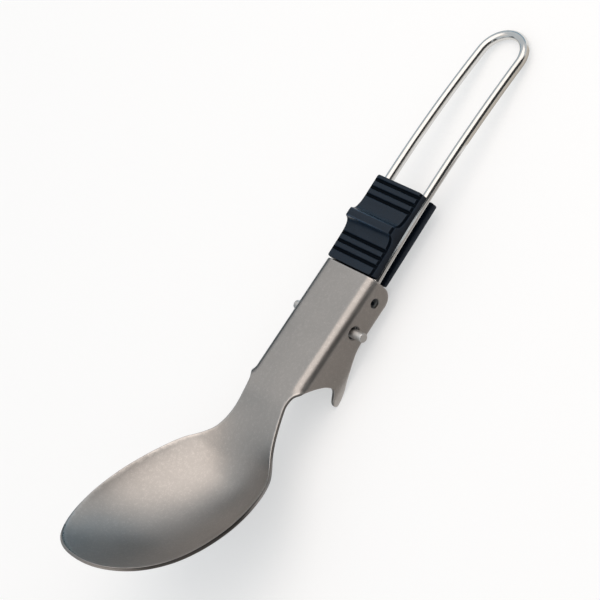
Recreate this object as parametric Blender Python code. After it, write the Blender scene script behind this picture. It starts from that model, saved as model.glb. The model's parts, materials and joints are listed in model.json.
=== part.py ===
# Folding camping spoon: a stamped titanium spoon body whose channel carries a bent wire handle,
# and a moulded lock slider that runs along the handle's two legs.
#
# The model is drawn round the fold axis, the line through the handle's two pins: +X points to the
# handle's loop, +Y to the left and +Z out of the channel's top plate. The whole spoon is then laid
# down as it lies on a table, on its two hooks and the handle's loop, with the middle of its
# footprint at the world's origin. All sizes are in metres and all angles in radians.

import math

import bmesh
import bpy
import numpy as np
from mathutils import Vector, geometry

# Stock and running clearances
SHEET = 0.0009
WIRE_DIAMETER = 0.0024
WIRE_CLEARANCE = 0.0003
PIN_PLAY = 0.0002
SIDE_CLEARANCE = 0.00025
SEAT_GAP = 0.0003

# Channel of the spoon body, with its two flanges folded down
CHANNEL_WIDTH = 0.0184
CHANNEL_REACH = 0.0130
PLATE_HEIGHT = 0.0046
BEND_RADIUS = 0.00255
FLANGE_DROP = 0.00365
FLANGE_CORNER = 0.0034
BEND_END = 0.0180
BEND_FADE = 0.0030

# Hook under each flange, measured from the fold axis
HOOK_REACH = 0.0165
HOOK_DROP = 0.0089
HOOK_TIP_RADIUS = 0.0009

# Latch hole near the open end of each flange
LATCH_HOLE_DIAMETER = 0.0025
LATCH_HOLE_REACH = 0.0086
LATCH_HOLE_DROP = 0.0001

# Neck and bowl
NECK_WIDTH = 0.0147
NECK_PLACE = 0.0245
BOWL_REACH = 0.07924
BOWL_WIDTH = 0.0397
BOWL_DEPTH = 0.0093
BOWL_FRONT = 0.02254
TIP_RISE = 0.0224

# Wire handle
PIN_STANDOUT = 0.0033
PIN_BEND_RADIUS = 0.0017
PIN_CHAMFER = 0.00025
WIDEST_SPREAD = 0.0070
WIDEST_PLACE = 0.0360
LOOP_SPREAD = 0.0066
LEG_REACH = 0.0758
BOW_RADIUS = 0.3385
BOW_START = math.radians(7.5)

# Lock slider
SLIDER_LENGTH = 0.0230
SLIDER_TOP = 0.0034
SLIDER_BOTTOM = 0.0036
SLIDER_LIP = 0.0015
SLIDER_TILT = math.radians(1.85)
SLIDER_CHAMFER = 0.00055
SLIDER_SIDE_GAP = 0.0001
GROOVE_PITCH = 0.00213
GROOVE_WIDTH = 0.00085
GROOVE_DEPTH = 0.0005
GROOVE_INSET = 0.00135
GROOVES_PER_END = 3
RIDGE_HEIGHT = 0.00185
RIDGE_WIDTH = 0.0023
RIDGE_PLACE = 0.0116
RIDGE_FRONT_RUN = 0.0019
RIDGE_REAR_RUN = 0.0032
TONGUE_LENGTH = 0.0062
NUB_DIAMETER = 0.0009

# Fineness of the curved surfaces
MESH_STEP = 0.0019
EDGE_STEP = 0.0011
BEND_STEPS = 5
HOLE_SIDES = 20
WIRE_RING_SIDES = 14
LEG_STEPS = 16
LOOP_STEPS = 20
PIN_BEND_STEPS = 6

# Shares chosen by hand. The bowl's edge: how far from the neck to the widest place, and how far
# from half the neck's width to half the bowl's width.
BOWL_EDGE_shares = [
    (0.00, 0.000), (0.07, 0.019), (0.16, 0.062), (0.25, 0.136), (0.336, 0.246), (0.424, 0.436),
    (0.511, 0.637), (0.599, 0.765), (0.687, 0.851), (0.775, 0.920), (0.862, 0.966), (0.935, 0.991),
    (1.00, 1.000), (1.06, 1.000),
]
# The rim seen from the side: how far from the neck to the tip, and how far up the tip's rise
RIM_shares = [
    (-0.10, 0.000), (-0.01, -0.012), (0.045, -0.047), (0.10, -0.078), (0.155, -0.098),
    (0.21, -0.107), (0.265, -0.082), (0.32, -0.022), (0.375, 0.039), (0.48, 0.164),
    (0.59, 0.307), (0.70, 0.456), (0.81, 0.618), (0.905, 0.788), (1.00, 1.000),
]
# The flange's edge from its straight stretch to the hook's tip, as shares of the hook's reach and
# of the way down from the flange's lower edge to the hook's lowest point
HOOK_BACK_shares = [
    (-0.02, 0.000), (0.06, 0.018), (0.15, 0.055), (0.25, 0.140), (0.376, 0.300), (0.486, 0.450),
    (0.597, 0.600), (0.703, 0.775), (0.803, 0.892), (0.876, 0.963),
]
# The hook's inner side and the notch up to the bend, as shares of the hook's reach and of the
# height from its lowest point to the bend
NOTCH_shares = [
    (0.982, 0.160), (0.945, 0.218), (0.882, 0.287), (0.836, 0.352), (0.818, 0.440), (0.838, 0.535),
    (0.872, 0.645), (0.926, 0.755), (0.984, 0.860), (1.044, 0.955),
]
BOWL_CORNER_POWER = 2.27
DISH_POWER = 0.78
DISH_SOFTNESS_share = 0.03
DISH_FADE_share = 0.42

# Sizes worked out from the ones above
WIRE_RADIUS = WIRE_DIAMETER / 2
PIN_HOLE_RADIUS = WIRE_RADIUS + WIRE_CLEARANCE + PIN_PLAY
HALF_OUTER = CHANNEL_WIDTH / 2
HALF_INNER = HALF_OUTER - SHEET
FLAT_HALF = HALF_OUTER - BEND_RADIUS
BEND_LENGTH = BEND_RADIUS * math.pi / 2
PIVOT_SPREAD = HALF_INNER - SIDE_CLEARANCE - WIRE_RADIUS
PIN_END = HALF_OUTER + PIN_STANDOUT
BOWL_HALF = BOWL_WIDTH / 2
NECK_HALF = NECK_WIDTH / 2
BOWL_RUN = BOWL_REACH - NECK_PLACE
WIDEST_X = -(BOWL_REACH - BOWL_FRONT)
BOW_CENTRE = (BOW_RADIUS * math.sin(BOW_START), -BOW_RADIUS * math.cos(BOW_START))
WEB_HALF = min(PIVOT_SPREAD, LOOP_SPREAD, WIDEST_SPREAD) - WIRE_RADIUS - WIRE_CLEARANCE
SLIDER_HALF = HALF_INNER - SLIDER_SIDE_GAP
NUB_END = HALF_INNER - SEAT_GAP
SLIDER_START = CHANNEL_REACH + SEAT_GAP
GROOVE_CEILING = WIRE_RADIUS + WIRE_CLEARANCE
GROOVE_FLOOR = SLIDER_BOTTOM - SLIDER_LIP
CUT_OVERRUN = 0.002


def clear_scene():
    for thing in list(bpy.data.objects):
        bpy.data.objects.remove(thing, do_unlink=True)


def material(name, colour, metallic, roughness):
    """A Principled material with one plain colour."""
    made = bpy.data.materials.new(name)
    made.use_nodes = True
    shader = made.node_tree.nodes["Principled BSDF"]
    shader.inputs["Base Color"].default_value = (*colour, 1.0)
    shader.inputs["Metallic"].default_value = metallic
    shader.inputs["Roughness"].default_value = roughness
    made.diffuse_color = (*colour, 1.0)
    return made


def add_mesh(name, points, faces, parent, finish=None, smooth_angle=None):
    """Put points and faces into a named object under its parent."""
    mesh = bpy.data.meshes.new(name)
    mesh.from_pydata([tuple(p) for p in points], [], [tuple(f) for f in faces])
    shape = bmesh.new()
    shape.from_mesh(mesh)
    bmesh.ops.recalc_face_normals(shape, faces=shape.faces)
    shape.to_mesh(mesh)
    shape.free()
    made = bpy.data.objects.new(name, mesh)
    bpy.context.collection.objects.link(made)
    made.parent = parent
    if finish:
        mesh.materials.append(finish)
    if smooth_angle:
        mesh.shade_smooth()
        mesh.set_sharp_from_angle(angle=smooth_angle)
    return made


def add_empty(name, place, parent=None):
    made = bpy.data.objects.new(name, None)
    bpy.context.collection.objects.link(made)
    made.location = place
    made.parent = parent
    return made


def smooth_step(value):
    """Rise from 0 to 1 with level ends as the value goes from 0 to 1."""
    held = np.clip(value, 0.0, 1.0)
    return held * held * (3.0 - 2.0 * held)


def smooth_curve(points, step):
    """A Catmull-Rom curve through the points, sampled about every step of its length."""
    points = np.asarray(points, float)
    ends = np.vstack([2 * points[0] - points[1], points, 2 * points[-1] - points[-2]])
    samples = [points[:1]]
    for k in range(len(points) - 1):
        before, start, stop, after = ends[k:k + 4]
        count = max(1, round(float(np.linalg.norm(stop - start)) / step))
        t = np.arange(1, count + 1)[:, None] / count
        bend = 2 * before - 5 * start + 4 * stop - after
        twist = 3 * start - before - 3 * stop + after
        samples.append(0.5 * (2 * start + (stop - before) * t + bend * t ** 2 + twist * t ** 3))
    return np.vstack(samples)


def spline_through(table, at):
    """Read a table of places and values as a smooth curve at the given places."""
    table = np.asarray(table, float)
    gaps = np.diff(table[:, 0])
    slopes = np.diff(table[:, 1]) / gaps
    inner = (slopes[:-1] * gaps[1:] + slopes[1:] * gaps[:-1]) / (gaps[:-1] + gaps[1:])
    tangents = np.concatenate([slopes[:1], inner, slopes[-1:]])
    held = np.clip(at, table[0, 0], table[-1, 0])
    k = np.clip(np.searchsorted(table[:, 0], held, side="right") - 1, 0, len(gaps) - 1)
    t = (held - table[k, 0]) / gaps[k]
    start, stop = table[k, 1], table[k + 1, 1]
    return ((2 * t ** 3 - 3 * t ** 2 + 1) * start + (t ** 3 - 2 * t ** 2 + t) * gaps[k] * tangents[k]
            + (3 * t ** 2 - 2 * t ** 3) * stop + (t ** 3 - t ** 2) * gaps[k] * tangents[k + 1])


# The spoon body is a flat blank, pressed into shape. A point of the blank has a place x along the
# spoon and a distance s from the middle line, measured over the outside of the sheet.

def bowl_half_width(x):
    """Half the blank's width at x, between the neck and the tip."""
    back_run = -WIDEST_X - NECK_PLACE
    share = spline_through(BOWL_EDGE_shares, (-x - NECK_PLACE) / back_run)
    back = NECK_HALF + (BOWL_HALF - NECK_HALF) * share
    reach = np.clip((WIDEST_X - x) / BOWL_FRONT, 0.0, 1.0)
    front = BOWL_HALF * (1.0 - reach ** BOWL_CORNER_POWER) ** (1.0 / BOWL_CORNER_POWER)
    return np.where(x > WIDEST_X, back, front)


def press(x, s):
    """The outside of the pressed sheet: the blank's middle stays flat, its sides follow the bend
    and run down the flanges, and the bowl sinks by a power of the distance inside its rim."""
    x, s = np.asarray(x, float), np.asarray(s, float)
    side = np.abs(s)
    folded = smooth_step((x + BEND_END + BEND_FADE) / BEND_FADE)
    over = np.maximum(side - FLAT_HALF, 0.0)
    bent = np.minimum(over, BEND_LENGTH)
    straight = over - bent
    turn = folded * bent / BEND_RADIUS
    out = np.minimum(side, FLAT_HALF) + bent * np.sinc(turn / math.pi)
    out = out + straight * np.cos(folded * math.pi / 2)
    drop = bent * np.sin(turn / 2) * np.sinc(turn / 2 / math.pi)
    drop = drop + straight * np.sin(folded * math.pi / 2)
    along = (-x - NECK_PLACE) / BOWL_RUN
    rim = PLATE_HEIGHT + TIP_RISE * np.where(along < RIM_shares[0][0], 0.0,
                                             spline_through(RIM_shares, along))
    inside = (bowl_half_width(x) ** 2 - s ** 2) / BOWL_HALF ** 2
    inside = np.where(x < -NECK_PLACE, np.clip(inside, 0.0, 1.0), 0.0)
    soft = DISH_SOFTNESS_share ** DISH_POWER
    full = (1.0 + DISH_SOFTNESS_share) ** DISH_POWER - soft
    dish = BOWL_DEPTH * ((inside + DISH_SOFTNESS_share) ** DISH_POWER - soft) / full
    dish = dish * smooth_step(along / DISH_FADE_share)
    return np.stack([x, np.sign(s) * out, rim - drop - dish], axis=-1)


def press_normal(x, s):
    """The sheet's outward normal, from the slopes along x and s."""
    small = SHEET / 100
    along_x = press(x + small, s) - press(x - small, s)
    along_s = press(x, s + small) - press(x, s - small)
    normal = np.cross(along_x, along_s)
    return normal / np.linalg.norm(normal, axis=-1, keepdims=True)


def down_flange(height):
    """The blank's distance s of a point on the flange at this height over the fold axis."""
    return FLAT_HALF + BEND_LENGTH + (PLATE_HEIGHT - BEND_RADIUS) - height


def blank_outline():
    """Half the blank's edge, from the bowl's tip round to the middle of the channel's end."""
    turn = np.linspace(0.0, math.pi / 2, round(BOWL_HALF * math.pi / 2 / EDGE_STEP) + 1)
    power = 2.0 / BOWL_CORNER_POWER
    front = np.column_stack([WIDEST_X - BOWL_FRONT * np.cos(turn) ** power,
                             BOWL_HALF * np.sin(turn) ** power])
    count = round((-WIDEST_X - NECK_PLACE) / EDGE_STEP)
    back_x = np.linspace(WIDEST_X, -NECK_PLACE, count + 1)[1:]
    back = np.column_stack([back_x, bowl_half_width(back_x)])

    fold_top = PLATE_HEIGHT - BEND_RADIUS
    notch = [(-HOOK_REACH * reach, down_flange(-HOOK_DROP + up * (fold_top + HOOK_DROP)))
             for reach, up in NOTCH_shares]
    hook = [(-HOOK_REACH * reach, down_flange(-FLANGE_DROP - down * (HOOK_DROP - FLANGE_DROP)))
            for reach, down in HOOK_BACK_shares]
    tip_centre = (-HOOK_REACH + HOOK_TIP_RADIUS, down_flange(-HOOK_DROP + HOOK_TIP_RADIUS))
    tip = [(tip_centre[0] - HOOK_TIP_RADIUS * math.cos(a), tip_centre[1] + HOOK_TIP_RADIUS * math.sin(a))
           for a in np.linspace(-0.5, 1.2, 5)]
    neck = [(-NECK_PLACE, NECK_HALF), (-NECK_PLACE + 0.4 * (NECK_PLACE - BEND_END - BEND_FADE), NECK_HALF),
            (-BEND_END - BEND_FADE, (NECK_HALF + HALF_OUTER) / 2 - SHEET / 2)]
    bend_corner = [(-BEND_END - BEND_FADE / 3, FLAT_HALF + BEND_LENGTH * 0.7)]
    edge = smooth_curve(neck + bend_corner + notch[::-1] + tip + hook[::-1], EDGE_STEP * 0.75)[1:]

    corner_centre = (CHANNEL_REACH - FLANGE_CORNER, down_flange(-FLANGE_DROP + FLANGE_CORNER))
    corner = [(corner_centre[0] + FLANGE_CORNER * math.sin(a), corner_centre[1] + FLANGE_CORNER * math.cos(a))
              for a in np.linspace(0.0, math.pi / 2, 8)]
    bend_lines = FLAT_HALF + BEND_LENGTH * np.linspace(1.0, 0.0, BEND_STEPS + 1)
    end = [(CHANNEL_REACH, s) for s in bend_lines] + [(CHANNEL_REACH, FLAT_HALF / 2), (CHANNEL_REACH, 0.0)]
    return np.vstack([front, back, edge, corner, end])


def circle(centre, radius, sides):
    angles = np.arange(sides) * 2 * math.pi / sides
    return np.column_stack([centre[0] + radius * np.cos(angles), centre[1] + radius * np.sin(angles)])


def inside_loop(points, loop):
    """Whether each point lies inside the closed loop, by counting the edges to its right."""
    found = np.zeros(len(points), bool)
    for start, stop in zip(loop, np.roll(loop, -1, axis=0)):
        crosses = (start[1] > points[:, 1]) != (stop[1] > points[:, 1])
        rise = stop[1] - start[1] if stop[1] != start[1] else 1.0
        reach = start[0] + (stop[0] - start[0]) * (points[:, 1] - start[1]) / rise
        found ^= crosses & (points[:, 0] < reach)
    return found


def distance_to_loop(points, loop):
    best = np.full(len(points), np.inf)
    for start, stop in zip(loop, np.roll(loop, -1, axis=0)):
        run = stop - start
        share = np.clip((points - start) @ run / max(run @ run, 1e-18), 0.0, 1.0)
        best = np.minimum(best, np.linalg.norm(points - start - share[:, None] * run, axis=1))
    return best


def half_blank():
    """Points and triangles of half the blank, with its two holes."""
    outline = blank_outline()
    tip_x = outline[0, 0]
    middle_x = np.linspace(CHANNEL_REACH, tip_x, round((CHANNEL_REACH - tip_x) / MESH_STEP) + 1)[1:-1]
    loop = np.vstack([outline, np.column_stack([middle_x, np.zeros(len(middle_x))])])
    holes = [circle((0.0, down_flange(PIN_PLAY)), PIN_HOLE_RADIUS, HOLE_SIDES),
             circle((LATCH_HOLE_REACH, down_flange(-LATCH_HOLE_DROP)), LATCH_HOLE_DIAMETER / 2, HOLE_SIDES)]

    flat_lines = np.linspace(0.0, FLAT_HALF, round(FLAT_HALF / MESH_STEP) + 1)[1:-1]
    bend_lines = FLAT_HALF + BEND_LENGTH * np.linspace(0.0, 1.0, BEND_STEPS + 1)
    outer_lines = np.arange(bend_lines[-1] + MESH_STEP, down_flange(-HOOK_DROP), MESH_STEP)
    channel_lines = np.concatenate([flat_lines, bend_lines, outer_lines])
    bowl_lines = np.arange(1, round(BOWL_HALF / MESH_STEP) + 1) * MESH_STEP
    inner = [(x, s) for x in middle_x if x > -NECK_PLACE for s in channel_lines]
    inner += [(x, s) for x in middle_x if x <= -NECK_PLACE for s in bowl_lines]
    inner = np.array(inner)
    keep = inside_loop(inner, loop) & (distance_to_loop(inner, loop) > EDGE_STEP * 0.45)
    for hole in holes:
        keep &= ~inside_loop(inner, hole) & (distance_to_loop(inner, hole) > EDGE_STEP * 0.45)

    points, edges = [], []
    for ring in [loop] + holes:
        first = len(points)
        points += [Vector(p) for p in ring]
        edges += [(first + k, first + (k + 1) % len(ring)) for k in range(len(ring))]
    points += [Vector(p) for p in inner[keep]]
    found = geometry.delaunay_2d_cdt(points, edges, [], 1, SHEET / 1000)
    flat = np.array([tuple(p) for p in found[0]])
    triangles = np.array([tuple(face) for face in found[2]])
    centres = flat[triangles].mean(axis=1)
    solid = inside_loop(centres, loop)
    for hole in holes:
        solid &= ~inside_loop(centres, hole)
    return flat, triangles[solid]


def make_spoon_body(parent):
    """Press the blank: its outside, its inside one sheet below, and a wall round each edge."""
    half, triangles = half_blank()
    on_middle = np.abs(half[:, 1]) < SHEET / 1000
    half[on_middle, 1] = 0.0
    mirrored = np.where(on_middle, np.arange(len(half)), len(half) + np.cumsum(~on_middle) - 1)
    flat = np.vstack([half, half[~on_middle] * (1.0, -1.0)])
    all_triangles = np.vstack([triangles, mirrored[triangles][:, ::-1]])
    used, index = np.unique(all_triangles, return_inverse=True)
    flat, all_triangles = flat[used], index.reshape(all_triangles.shape)

    outside = press(flat[:, 0], flat[:, 1])
    inside = outside - SHEET * press_normal(flat[:, 0], flat[:, 1])
    count = len(flat)
    edges = {(int(a), int(b)) for t in all_triangles for a, b in zip(t, np.roll(t, -1))}
    walls = [(b, a, a + count, b + count) for a, b in sorted(edges) if (b, a) not in edges]
    faces = [tuple(map(int, t)) for t in all_triangles]
    faces += [tuple(int(v) + count for v in t[::-1]) for t in all_triangles]
    titanium = material("blasted_titanium", (0.42, 0.40, 0.38), 1.0, 0.45)
    return add_mesh("spoon_body", np.vstack([outside, inside]), faces + walls, parent, titanium,
                    smooth_angle=math.radians(40))


# The handle's legs follow one arc, seen from the side. The slider runs along the same arc.

def bow_height(x):
    """Height of the wire's middle over the fold axis at x."""
    return BOW_CENTRE[1] + np.sqrt(BOW_RADIUS ** 2 - (x - BOW_CENTRE[0]) ** 2)


def leg_spread(x):
    """Half the distance between the legs at x: widest in the slider's reach, closer at each end."""
    before = (WIDEST_PLACE - x) / (WIDEST_PLACE - PIN_BEND_RADIUS)
    after = (x - WIDEST_PLACE) / (LEG_REACH - WIDEST_PLACE)
    drawn_in = np.where(x < WIDEST_PLACE, (WIDEST_SPREAD - PIVOT_SPREAD) * before ** 2,
                        (WIDEST_SPREAD - LOOP_SPREAD) * after ** 2)
    return WIDEST_SPREAD - drawn_in


def handle_path():
    """Middle line of the wire, from one pin's end round the loop to the other's."""
    turn = np.linspace(0.0, math.pi / 2, PIN_BEND_STEPS + 1)
    bend_x = PIN_BEND_RADIUS * (1.0 - np.cos(turn))
    bend_y = PIVOT_SPREAD + PIN_BEND_RADIUS * (1.0 - np.sin(turn))
    leg_x = np.linspace(PIN_BEND_RADIUS, LEG_REACH, LEG_STEPS + 1)[1:]
    swing = np.linspace(0.0, math.pi / 2, LOOP_STEPS // 2 + 1)[1:]
    x = np.concatenate([[0.0], bend_x, leg_x, LEG_REACH + LOOP_SPREAD * np.sin(swing)])
    y = np.concatenate([[PIN_END], bend_y, leg_spread(leg_x), LOOP_SPREAD * np.cos(swing)])
    half = np.column_stack([x, y, bow_height(x)])
    return np.vstack([half, half[-2::-1] * (1.0, -1.0, 1.0)])


def tube(path, radii, sides):
    """A round tube along the path, its rings square to the path, with flat ends."""
    ahead = np.diff(path, axis=0)
    ahead = ahead / np.linalg.norm(ahead, axis=1, keepdims=True)
    tangents = np.vstack([ahead[:1], ahead[:-1] + ahead[1:], ahead[-1:]])
    tangents = tangents / np.linalg.norm(tangents, axis=1, keepdims=True)
    up = np.array([0.0, 0.0, 1.0])
    across = np.cross(tangents, up)
    across = across / np.linalg.norm(across, axis=1, keepdims=True)
    lift = np.cross(across, tangents)
    angles = np.arange(sides) * 2 * math.pi / sides
    ring = across[:, None] * np.cos(angles)[:, None] + lift[:, None] * np.sin(angles)[:, None]
    points = (path[:, None] + np.asarray(radii)[:, None, None] * ring).reshape(-1, 3)
    faces = []
    for k in range(len(path) - 1):
        for j in range(sides):
            n = (j + 1) % sides
            faces.append((k * sides + j, (k + 1) * sides + j, (k + 1) * sides + n, k * sides + n))
    faces.append(tuple(range(sides)))
    faces.append(tuple(range(len(path) * sides - 1, (len(path) - 1) * sides - 1, -1)))
    return points, faces


def make_wire_handle(parent):
    """The handle: two pins through the flanges, two bowed legs and a round loop, in one wire."""
    path = handle_path()
    start = path[0] + (path[1] - path[0]) / np.linalg.norm(path[1] - path[0]) * PIN_CHAMFER
    stop = start * (1.0, -1.0, 1.0)
    path = np.vstack([path[:1], [start], path[1:-1], [stop], path[-1:]])
    radii = np.full(len(path), WIRE_RADIUS)
    radii[[0, -1]] = WIRE_RADIUS - PIN_CHAMFER
    points, faces = tube(path, radii, WIRE_RING_SIDES)
    steel = material("polished_steel", (0.62, 0.61, 0.59), 1.0, 0.2)
    return add_mesh("wire_handle", points, faces, parent, steel, smooth_angle=math.radians(40))


def loft(sections):
    """A solid through closed sections with as many points each, its first and last one filled."""
    count = len(sections[0])
    points = np.vstack(sections)
    faces = []
    for k in range(len(sections) - 1):
        for j in range(count):
            n = (j + 1) % count
            faces.append((k * count + j, k * count + n, (k + 1) * count + n, (k + 1) * count + j))
    faces.append(tuple(range(count - 1, -1, -1)))
    faces.append(tuple(range((len(sections) - 1) * count, len(sections) * count)))
    return points, faces


def slider_top_profile():
    """The slider's top from its spoon end, as distances along it and heights over its top face:
    grooves near each end and a ridge with hollow flanks between them."""
    profile = [(0.0, 0.0)]

    def groove(centre):
        half = GROOVE_WIDTH / 2
        bottom = half / 2
        return [(centre - half, 0.0), (centre - bottom, -GROOVE_DEPTH),
                (centre + bottom, -GROOVE_DEPTH), (centre + half, 0.0)]

    first_set = [SLIDER_LENGTH - GROOVE_INSET - GROOVE_PITCH * k for k in range(GROOVES_PER_END)]
    near_start = GROOVE_INSET + GROOVE_PITCH / 2
    near_set = [near_start + GROOVE_PITCH * k for k in range(GROOVES_PER_END)]
    for centre in near_set:
        profile += groove(centre)
    ridge_start = RIDGE_PLACE - RIDGE_WIDTH / 2
    ridge_stop = RIDGE_PLACE + RIDGE_WIDTH / 2
    for share in (1.0, 0.6, 0.3, 0.1, 0.0):
        profile.append((ridge_start - RIDGE_FRONT_RUN * share, RIDGE_HEIGHT * (1.0 - share) ** 2))
    for share in (0.0, 0.1, 0.3, 0.6, 1.0):
        profile.append((ridge_stop + RIDGE_REAR_RUN * share, RIDGE_HEIGHT * (1.0 - share) ** 2))
    for centre in reversed(first_set):
        profile += groove(centre)
    return profile + [(SLIDER_LENGTH, 0.0)]


def slider_frame():
    """The slider's middle on the wire, and its tilted directions along and up."""
    middle = SLIDER_START + SLIDER_LENGTH / 2
    along = np.array([math.cos(SLIDER_TILT), 0.0, math.sin(SLIDER_TILT)])
    up = np.array([-math.sin(SLIDER_TILT), 0.0, math.cos(SLIDER_TILT)])
    return np.array([middle, 0.0, bow_height(middle)]), along, up


def wire_section(x, outline):
    """A section square across the wires at x, its heights counted from the wire's middle."""
    height = bow_height(x)
    slope = math.asin((BOW_CENTRE[0] - x) / BOW_RADIUS)
    return np.array([(x - z * math.sin(slope), y, height + z * math.cos(slope)) for y, z in outline])


def sweep_along_wire(start, stop, outline, steps):
    return loft([wire_section(x, outline) for x in np.linspace(start, stop, steps + 1)])


def boolean(target, tool, operation):
    """Join or cut with another solid, which stays as a hidden guide."""
    step = target.modifiers.new(tool.name, "BOOLEAN")
    step.operation = operation
    step.solver = "EXACT"
    step.object = tool
    tool.hide_render = True
    tool.display_type = "WIRE"


def make_lock_slider(parent):
    """The slider: a moulded block with a groove for the wire along each side, finger grooves and
    a ridge on top, and a tongue that reaches into the channel between the handle's legs."""
    plastic = material("black_plastic", (0.035, 0.04, 0.047), 0.0, 0.35)
    middle, along, up = slider_frame()
    away = np.array([BOW_CENTRE[0], 0.0, BOW_CENTRE[1]])

    profile = slider_top_profile()
    bottom = [(SLIDER_LENGTH, -SLIDER_TOP - SLIDER_BOTTOM), (0.0, -SLIDER_TOP - SLIDER_BOTTOM)]
    sections = []
    for y, inset in ((-SLIDER_HALF, SLIDER_CHAMFER), (-SLIDER_HALF + SLIDER_CHAMFER, 0.0),
                     (SLIDER_HALF - SLIDER_CHAMFER, 0.0), (SLIDER_HALF, SLIDER_CHAMFER)):
        outline = [(a, h - inset) for a, h in profile] + [(a, h + inset) for a, h in bottom]
        section = [middle + along * (a - SLIDER_LENGTH / 2) + up * (h + SLIDER_TOP) for a, h in outline]
        sections.append(np.array(section) + (0.0, y, 0.0) - away)
    points, faces = loft(sections)
    slider = add_mesh("lock_slider", points, faces, parent, plastic, smooth_angle=math.radians(30))

    beyond = SLIDER_HALF + CUT_OVERRUN
    ceiling = [(WIDEST_SPREAD + GROOVE_CEILING * math.sin(a), GROOVE_CEILING * math.cos(a))
               for a in np.linspace(0.0, math.radians(60), 6)]
    outline = [(WEB_HALF, -GROOVE_FLOOR), (WEB_HALF, GROOVE_CEILING)] + ceiling
    outline += [(beyond, ceiling[-1][1]), (beyond, -GROOVE_FLOOR)]
    start = SLIDER_START - CUT_OVERRUN
    stop = SLIDER_START + SLIDER_LENGTH + CUT_OVERRUN
    for name, side in (("left", 1), ("right", -1)):
        mirrored = [(side * y, z) for y, z in outline]
        points, faces = sweep_along_wire(start, stop, mirrored, 12)
        boolean(slider, add_mesh(f"wire_groove_{name}", points - away, faces, parent), "DIFFERENCE")

    tongue_half = WEB_HALF - SHEET / 4
    tongue_top = GROOVE_CEILING + SEAT_GAP
    tongue = [(-tongue_half, -GROOVE_FLOOR), (tongue_half, -GROOVE_FLOOR),
              (tongue_half, tongue_top), (-tongue_half, tongue_top)]
    points, faces = sweep_along_wire(SLIDER_START - TONGUE_LENGTH, SLIDER_START + CUT_OVERRUN, tongue, 4)
    boolean(slider, add_mesh("tongue_guide", points - away, faces, parent), "UNION")

    nub_drop = WIRE_RADIUS + WIRE_CLEARANCE + NUB_DIAMETER / 2
    nub_x = LATCH_HOLE_REACH
    for name, side in (("left", 1), ("right", -1)):
        rings = []
        reach = [(tongue_half - SHEET / 2, 0.5), (NUB_END - NUB_DIAMETER / 4, 0.5), (NUB_END, 0.3)]
        for y, share in reach:
            ring = circle((nub_x, bow_height(nub_x) - nub_drop), NUB_DIAMETER * share, 12)
            rings.append(np.column_stack([ring[:, 0], np.full(len(ring), side * y), ring[:, 1]]) - away)
        points, faces = loft(rings)
        boolean(slider, add_mesh(f"nub_guide_{name}", points, faces, parent), "UNION")
    return slider


def lay_angle():
    """How far the spoon pitches forward when it lies on its hooks and the handle's loop: the
    slope of the line that touches the hook's tip and the loop's wire from below."""
    loop_x = LEG_REACH + LOOP_SPREAD
    run = loop_x + HOOK_REACH - HOOK_TIP_RADIUS
    rise = float(bow_height(loop_x)) + HOOK_DROP - HOOK_TIP_RADIUS
    return math.atan2(rise, run) - math.asin((WIRE_RADIUS - HOOK_TIP_RADIUS) / math.hypot(run, rise))


def lay_down(frame, pieces):
    """Turn the spoon as it lies, and put the middle of its footprint at the origin."""
    frame.rotation_euler = (0.0, lay_angle(), 0.0)
    bpy.context.view_layer.update()
    corners = np.array([piece.matrix_world @ v.co for piece in pieces for v in piece.data.vertices])
    low, high = corners.min(axis=0), corners.max(axis=0)
    frame.location = (-(low[0] + high[0]) / 2, 0.0, -low[2])
    bpy.context.view_layer.update()


def build():
    clear_scene()
    frame = add_empty("spoon_frame", (0.0, 0.0, 0.0))
    body = make_spoon_body(frame)
    fold_axis = add_empty("fold_axis", (0.0, 0.0, 0.0), frame)
    handle = make_wire_handle(fold_axis)
    slide_centre = add_empty("slide_centre", (BOW_CENTRE[0], 0.0, BOW_CENTRE[1]), fold_axis)
    make_lock_slider(slide_centre)
    lay_down(frame, [body, handle])


build()
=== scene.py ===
"""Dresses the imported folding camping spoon: a pressed titanium spoon body, a bent wire handle and
a moulded lock slider, on a pale floor under soft studio light. Every piece is worked out in a frame
round the fold axis, x towards the loop, y across and z up, and then laid down like the solids."""

import json
import math

import bmesh
import bpy
import numpy as np
from bpy.props import FloatProperty, FloatVectorProperty, IntProperty, PointerProperty
from mathutils import Euler, Matrix, Vector, geometry


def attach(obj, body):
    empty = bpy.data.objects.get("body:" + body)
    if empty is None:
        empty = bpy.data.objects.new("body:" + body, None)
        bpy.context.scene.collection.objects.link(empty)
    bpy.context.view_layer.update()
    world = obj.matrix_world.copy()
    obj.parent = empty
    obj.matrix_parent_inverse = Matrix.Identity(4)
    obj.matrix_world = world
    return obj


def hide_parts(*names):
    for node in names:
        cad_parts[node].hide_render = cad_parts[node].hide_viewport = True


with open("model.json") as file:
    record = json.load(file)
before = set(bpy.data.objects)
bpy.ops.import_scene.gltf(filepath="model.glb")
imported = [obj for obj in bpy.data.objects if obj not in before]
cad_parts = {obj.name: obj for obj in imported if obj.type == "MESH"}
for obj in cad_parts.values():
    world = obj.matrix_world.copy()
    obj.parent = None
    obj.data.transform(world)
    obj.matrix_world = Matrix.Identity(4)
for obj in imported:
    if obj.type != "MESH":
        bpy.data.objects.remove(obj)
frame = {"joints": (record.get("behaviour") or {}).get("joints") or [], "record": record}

bl_info = {
    "name": "Folding Camping Spoon",
    "version": (1, 0, 0),
    "blender": (4, 5, 0),
    "location": "3D View > Sidebar > Spoon",
    "description": "Makes a folding camping spoon and the studio that it is shown in",
    "category": "Add Mesh",
}

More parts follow.
